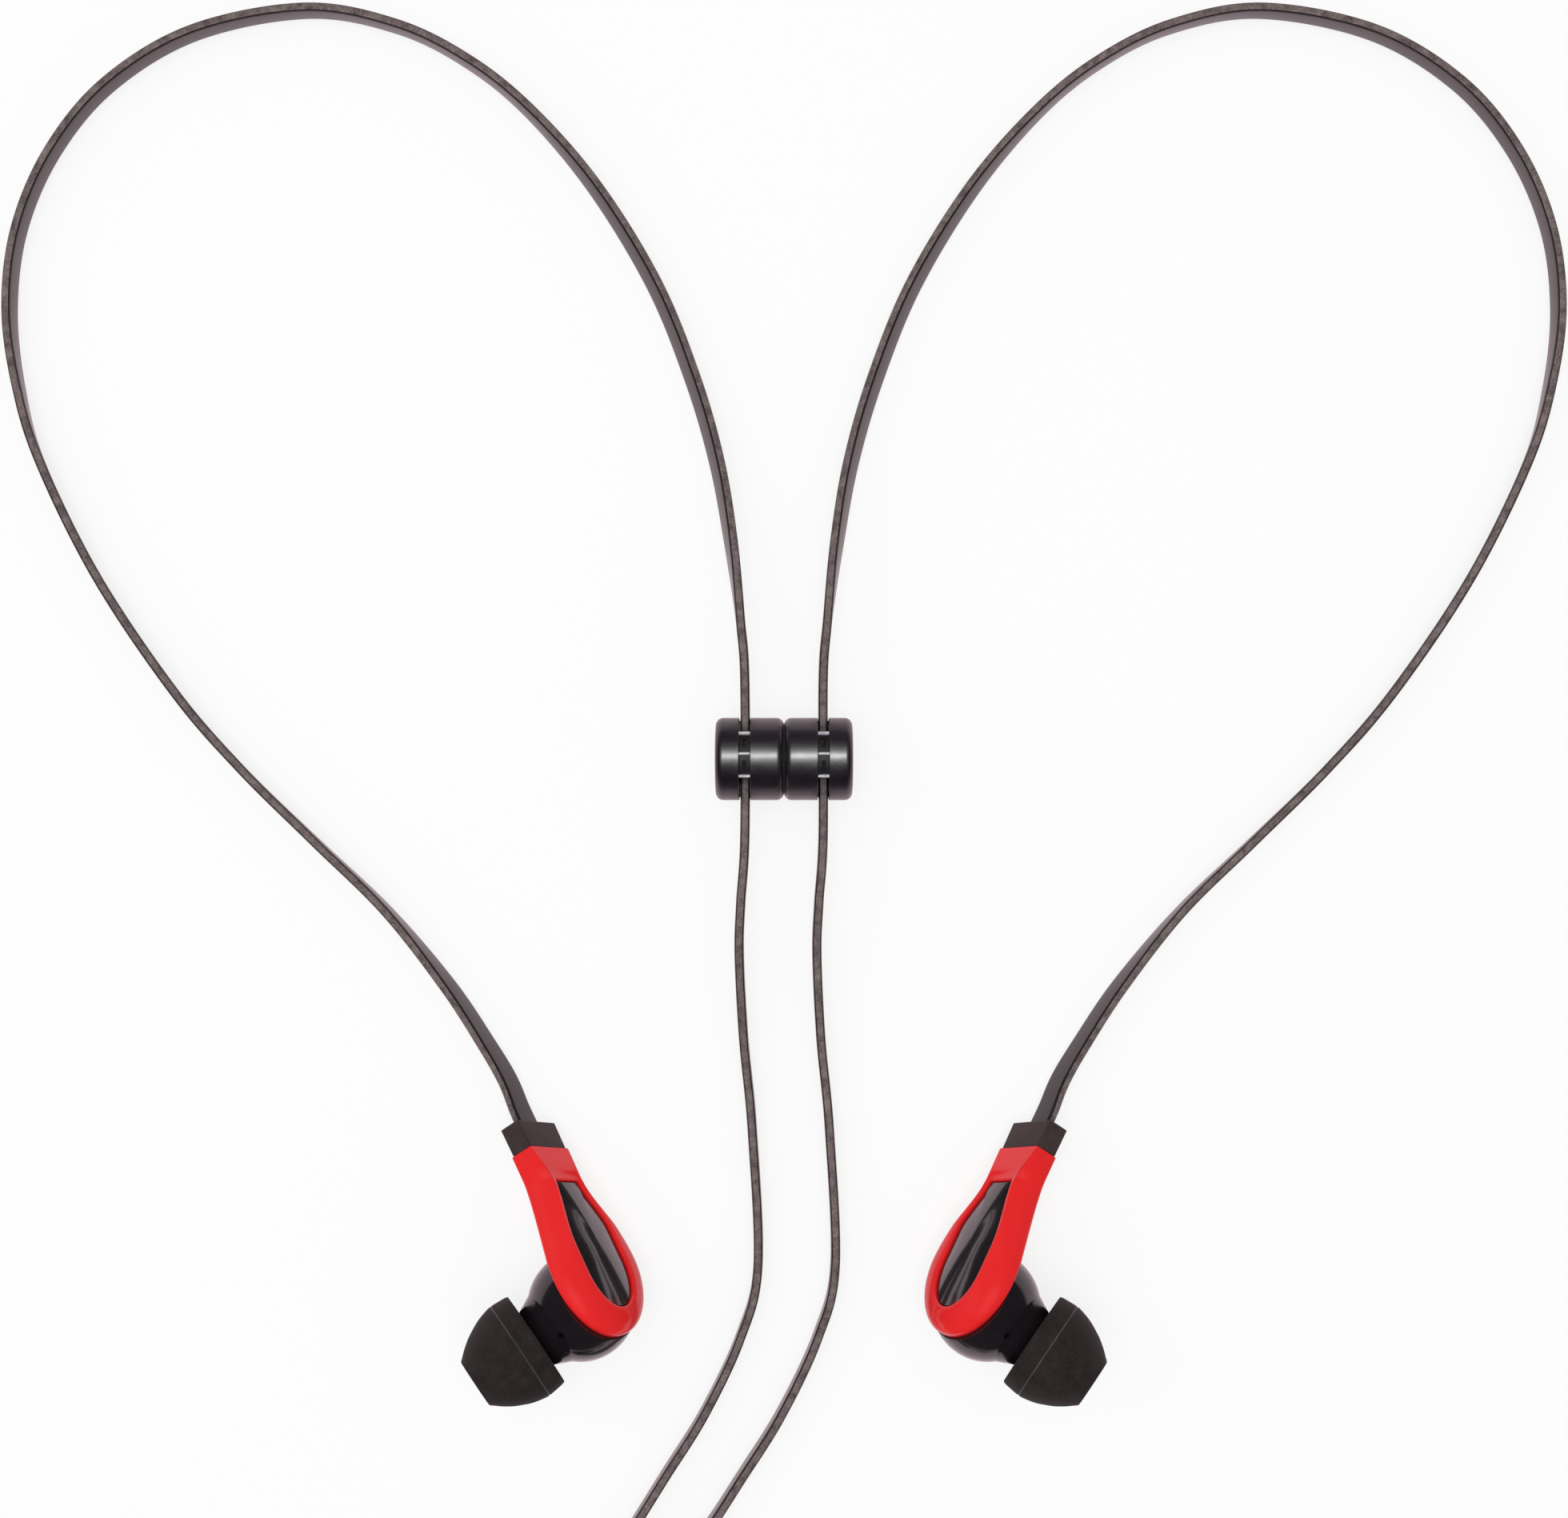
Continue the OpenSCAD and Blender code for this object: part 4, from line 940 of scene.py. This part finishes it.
PAIRED_SOLIDS = {
    "body": (black_body, 0.12), "nozzle_mesh": (screen_steel, 0), "driver_frame": (ring_plastic, 0.05),
    "driver_magnet": (plated_magnet, 0.05), "diaphragm": (driver_film, 0), "voice_coil": (copper_wire, 0),
    "terminal_board": (green_board, 0.03), "strain_relief": (soft_relief, 0.22),
    "bead_magnet": (plated_magnet, 0.05), "bead_cap": (bead_paint, 0.05),
}
SINGLE_SOLIDS = {
    "splitter_bottom": (plug_plastic, 0.25), "splitter_top": (plug_plastic, 0.25),
    "splitter_board": (green_board, 0.05), "coil_tie": (ring_plastic, 0.15),
    "plug_boot": (soft_relief, 0.1), "plug_grip": (plug_plastic, 0.1),
    "plug_sleeve": (gold_plate, 0.05), "plug_ring": (gold_plate, 0.05),
    "plug_tip": (gold_plate, 0.05), "plug_insulators": (ring_plastic, 0.03),
}
for part, (material, bevel_mm) in PAIRED_SOLIDS.items():
    for side in SIDES:
        dress(f"{side}_{part}", material, bevel_mm)
for name, (material, bevel_mm) in SINGLE_SOLIDS.items():
    dress(name, material, bevel_mm)

# %% [markdown]
# ## Floor and light
# The floor is plain white. It is mostly a steady glow, white to the camera and faintly rosy
# in reflections, and the rest is lit paper, so a faint shadow stays under the pieces. Two soft
# lamps and the sky light everything, and a third lamp is there for the clasp alone: it gives
# the beads their long grey streak.

# %% Floor
FLOOR_HALF, FLOOR_DROP = 2.0, 0.00012
PAPER_WHITE, GLOW_SHARE = (0.88, 0.88, 0.88, 1), 0.8
GLOW_SEEN, GLOW_MIRRORED = (1, 1, 1, 1), (1.0, 0.79, 0.86, 1)
floor = new_piece("floor", [(-FLOOR_HALF, -FLOOR_HALF, 0), (FLOOR_HALF, -FLOOR_HALF, 0),
                            (FLOOR_HALF, FLOOR_HALF, 0), (-FLOOR_HALF, FLOOR_HALF, 0)], [(0, 1, 2, 3)])
floor.location.z = -FLOOR_DROP
paper = bpy.data.materials.new("paper")
paper.use_nodes = True
tree = paper.node_tree
paper_shader = tree.nodes["Principled BSDF"]
paper_shader.inputs["Base Color"].default_value = PAPER_WHITE
paper_shader.inputs["Roughness"].default_value = 0.9
paper_shader.inputs["Specular IOR Level"].default_value = 0.0
glow = add_node(tree, "ShaderNodeEmission", 0, -400)
seen = add_node(tree, "ShaderNodeLightPath", -400, 400)
cast = add_node(tree, "ShaderNodeMix", -200, -400, data_type="RGBA")
cast.inputs["A"].default_value = GLOW_SEEN
cast.inputs["B"].default_value = GLOW_MIRRORED
tree.links.new(seen.outputs["Is Glossy Ray"], cast.inputs["Factor"])
tree.links.new(cast.outputs["Result"], glow.inputs["Color"])
either = add_node(tree, "ShaderNodeMath", -200, 400, operation="MAXIMUM")
share = add_node(tree, "ShaderNodeMath", 0, 400, operation="MULTIPLY")
share.inputs[1].default_value = GLOW_SHARE
blend = add_node(tree, "ShaderNodeMixShader", 300, 0)
tree.links.new(seen.outputs["Is Camera Ray"], either.inputs[0])
tree.links.new(seen.outputs["Is Glossy Ray"], either.inputs[1])
tree.links.new(either.outputs[0], share.inputs[0])
tree.links.new(share.outputs[0], blend.inputs["Fac"])
tree.links.new(paper_shader.outputs[0], blend.inputs[1])
tree.links.new(glow.outputs[0], blend.inputs[2])
tree.links.new(blend.outputs[0], tree.nodes["Material Output"].inputs["Surface"])
floor.data.materials.append(paper)

# %% Sky
SKY_LIGHT, SKY_SEEN, SKY_MIRRORED_LOW, SKY_MIRRORED_HIGH = 0.5, 1.0, 0.05, 0.015
world = bpy.data.worlds.new("sky")
world.use_nodes = True
bpy.context.scene.world = world
sky = world.node_tree
back = sky.nodes["Background"]
path_kind = add_node(sky, "ShaderNodeLightPath", -600)
heading = add_node(sky, "ShaderNodeTexCoord", -1000, -200)
parts = add_node(sky, "ShaderNodeSeparateXYZ", -800, -200)
mirrored = add_node(sky, "ShaderNodeMapRange", -600, -200)
mirrored.inputs["To Min"].default_value = SKY_MIRRORED_LOW
mirrored.inputs["To Max"].default_value = SKY_MIRRORED_HIGH
either_kind = add_node(sky, "ShaderNodeMapRange", -400)
either_kind.inputs["To Min"].default_value = SKY_LIGHT
level = add_node(sky, "ShaderNodeMapRange", -200)
level.inputs["To Max"].default_value = SKY_SEEN
sky.links.new(heading.outputs["Generated"], parts.inputs["Vector"])
sky.links.new(parts.outputs["Z"], mirrored.inputs["Value"])
sky.links.new(path_kind.outputs["Is Glossy Ray"], either_kind.inputs["Value"])
sky.links.new(mirrored.outputs["Result"], either_kind.inputs["To Max"])
sky.links.new(either_kind.outputs["Result"], level.inputs["To Min"])
sky.links.new(path_kind.outputs["Is Camera Ray"], level.inputs["Value"])
sky.links.new(level.outputs["Result"], back.inputs["Strength"])
back.inputs["Color"].default_value = (1, 1, 1, 1)

# %% Lamps
LAMPS_AIM = Vector((0, 0.03, 0))


def lamp(name, place, size, watts):
    data = bpy.data.lights.new(name, "AREA")
    data.shape = "RECTANGLE"
    data.size, data.size_y = size
    data.energy = watts
    holder = bpy.data.objects.new(name, data)
    holder.location = place
    aim = LAMPS_AIM - Vector(place)
    holder.rotation_euler = aim.to_track_quat("-Z", "Y").to_euler()
    bpy.context.scene.collection.objects.link(holder)
    return holder


for soft in (lamp("overhead", (-0.05, 0.06, 0.9), (0.6, 0.62), 4.6),
             lamp("left_fill", (-0.9, 0.3, 0.7), (0.5, 0.8), 1.6)):
    soft.visible_glossy = False
streak = lamp("streak", (0, 0.2, 0.9), (0.5, 0.12), 7.5)
streak.visible_diffuse = False
clasp_pieces = bpy.data.collections.new("clasp_pieces")
for piece in bpy.context.scene.objects:
    if "_bead_" in piece.name or "_clip_" in piece.name:
        clasp_pieces.objects.link(piece)
streak.light_linking.receiver_collection = clasp_pieces
bpy.context.scene.view_settings.view_transform = "Standard"
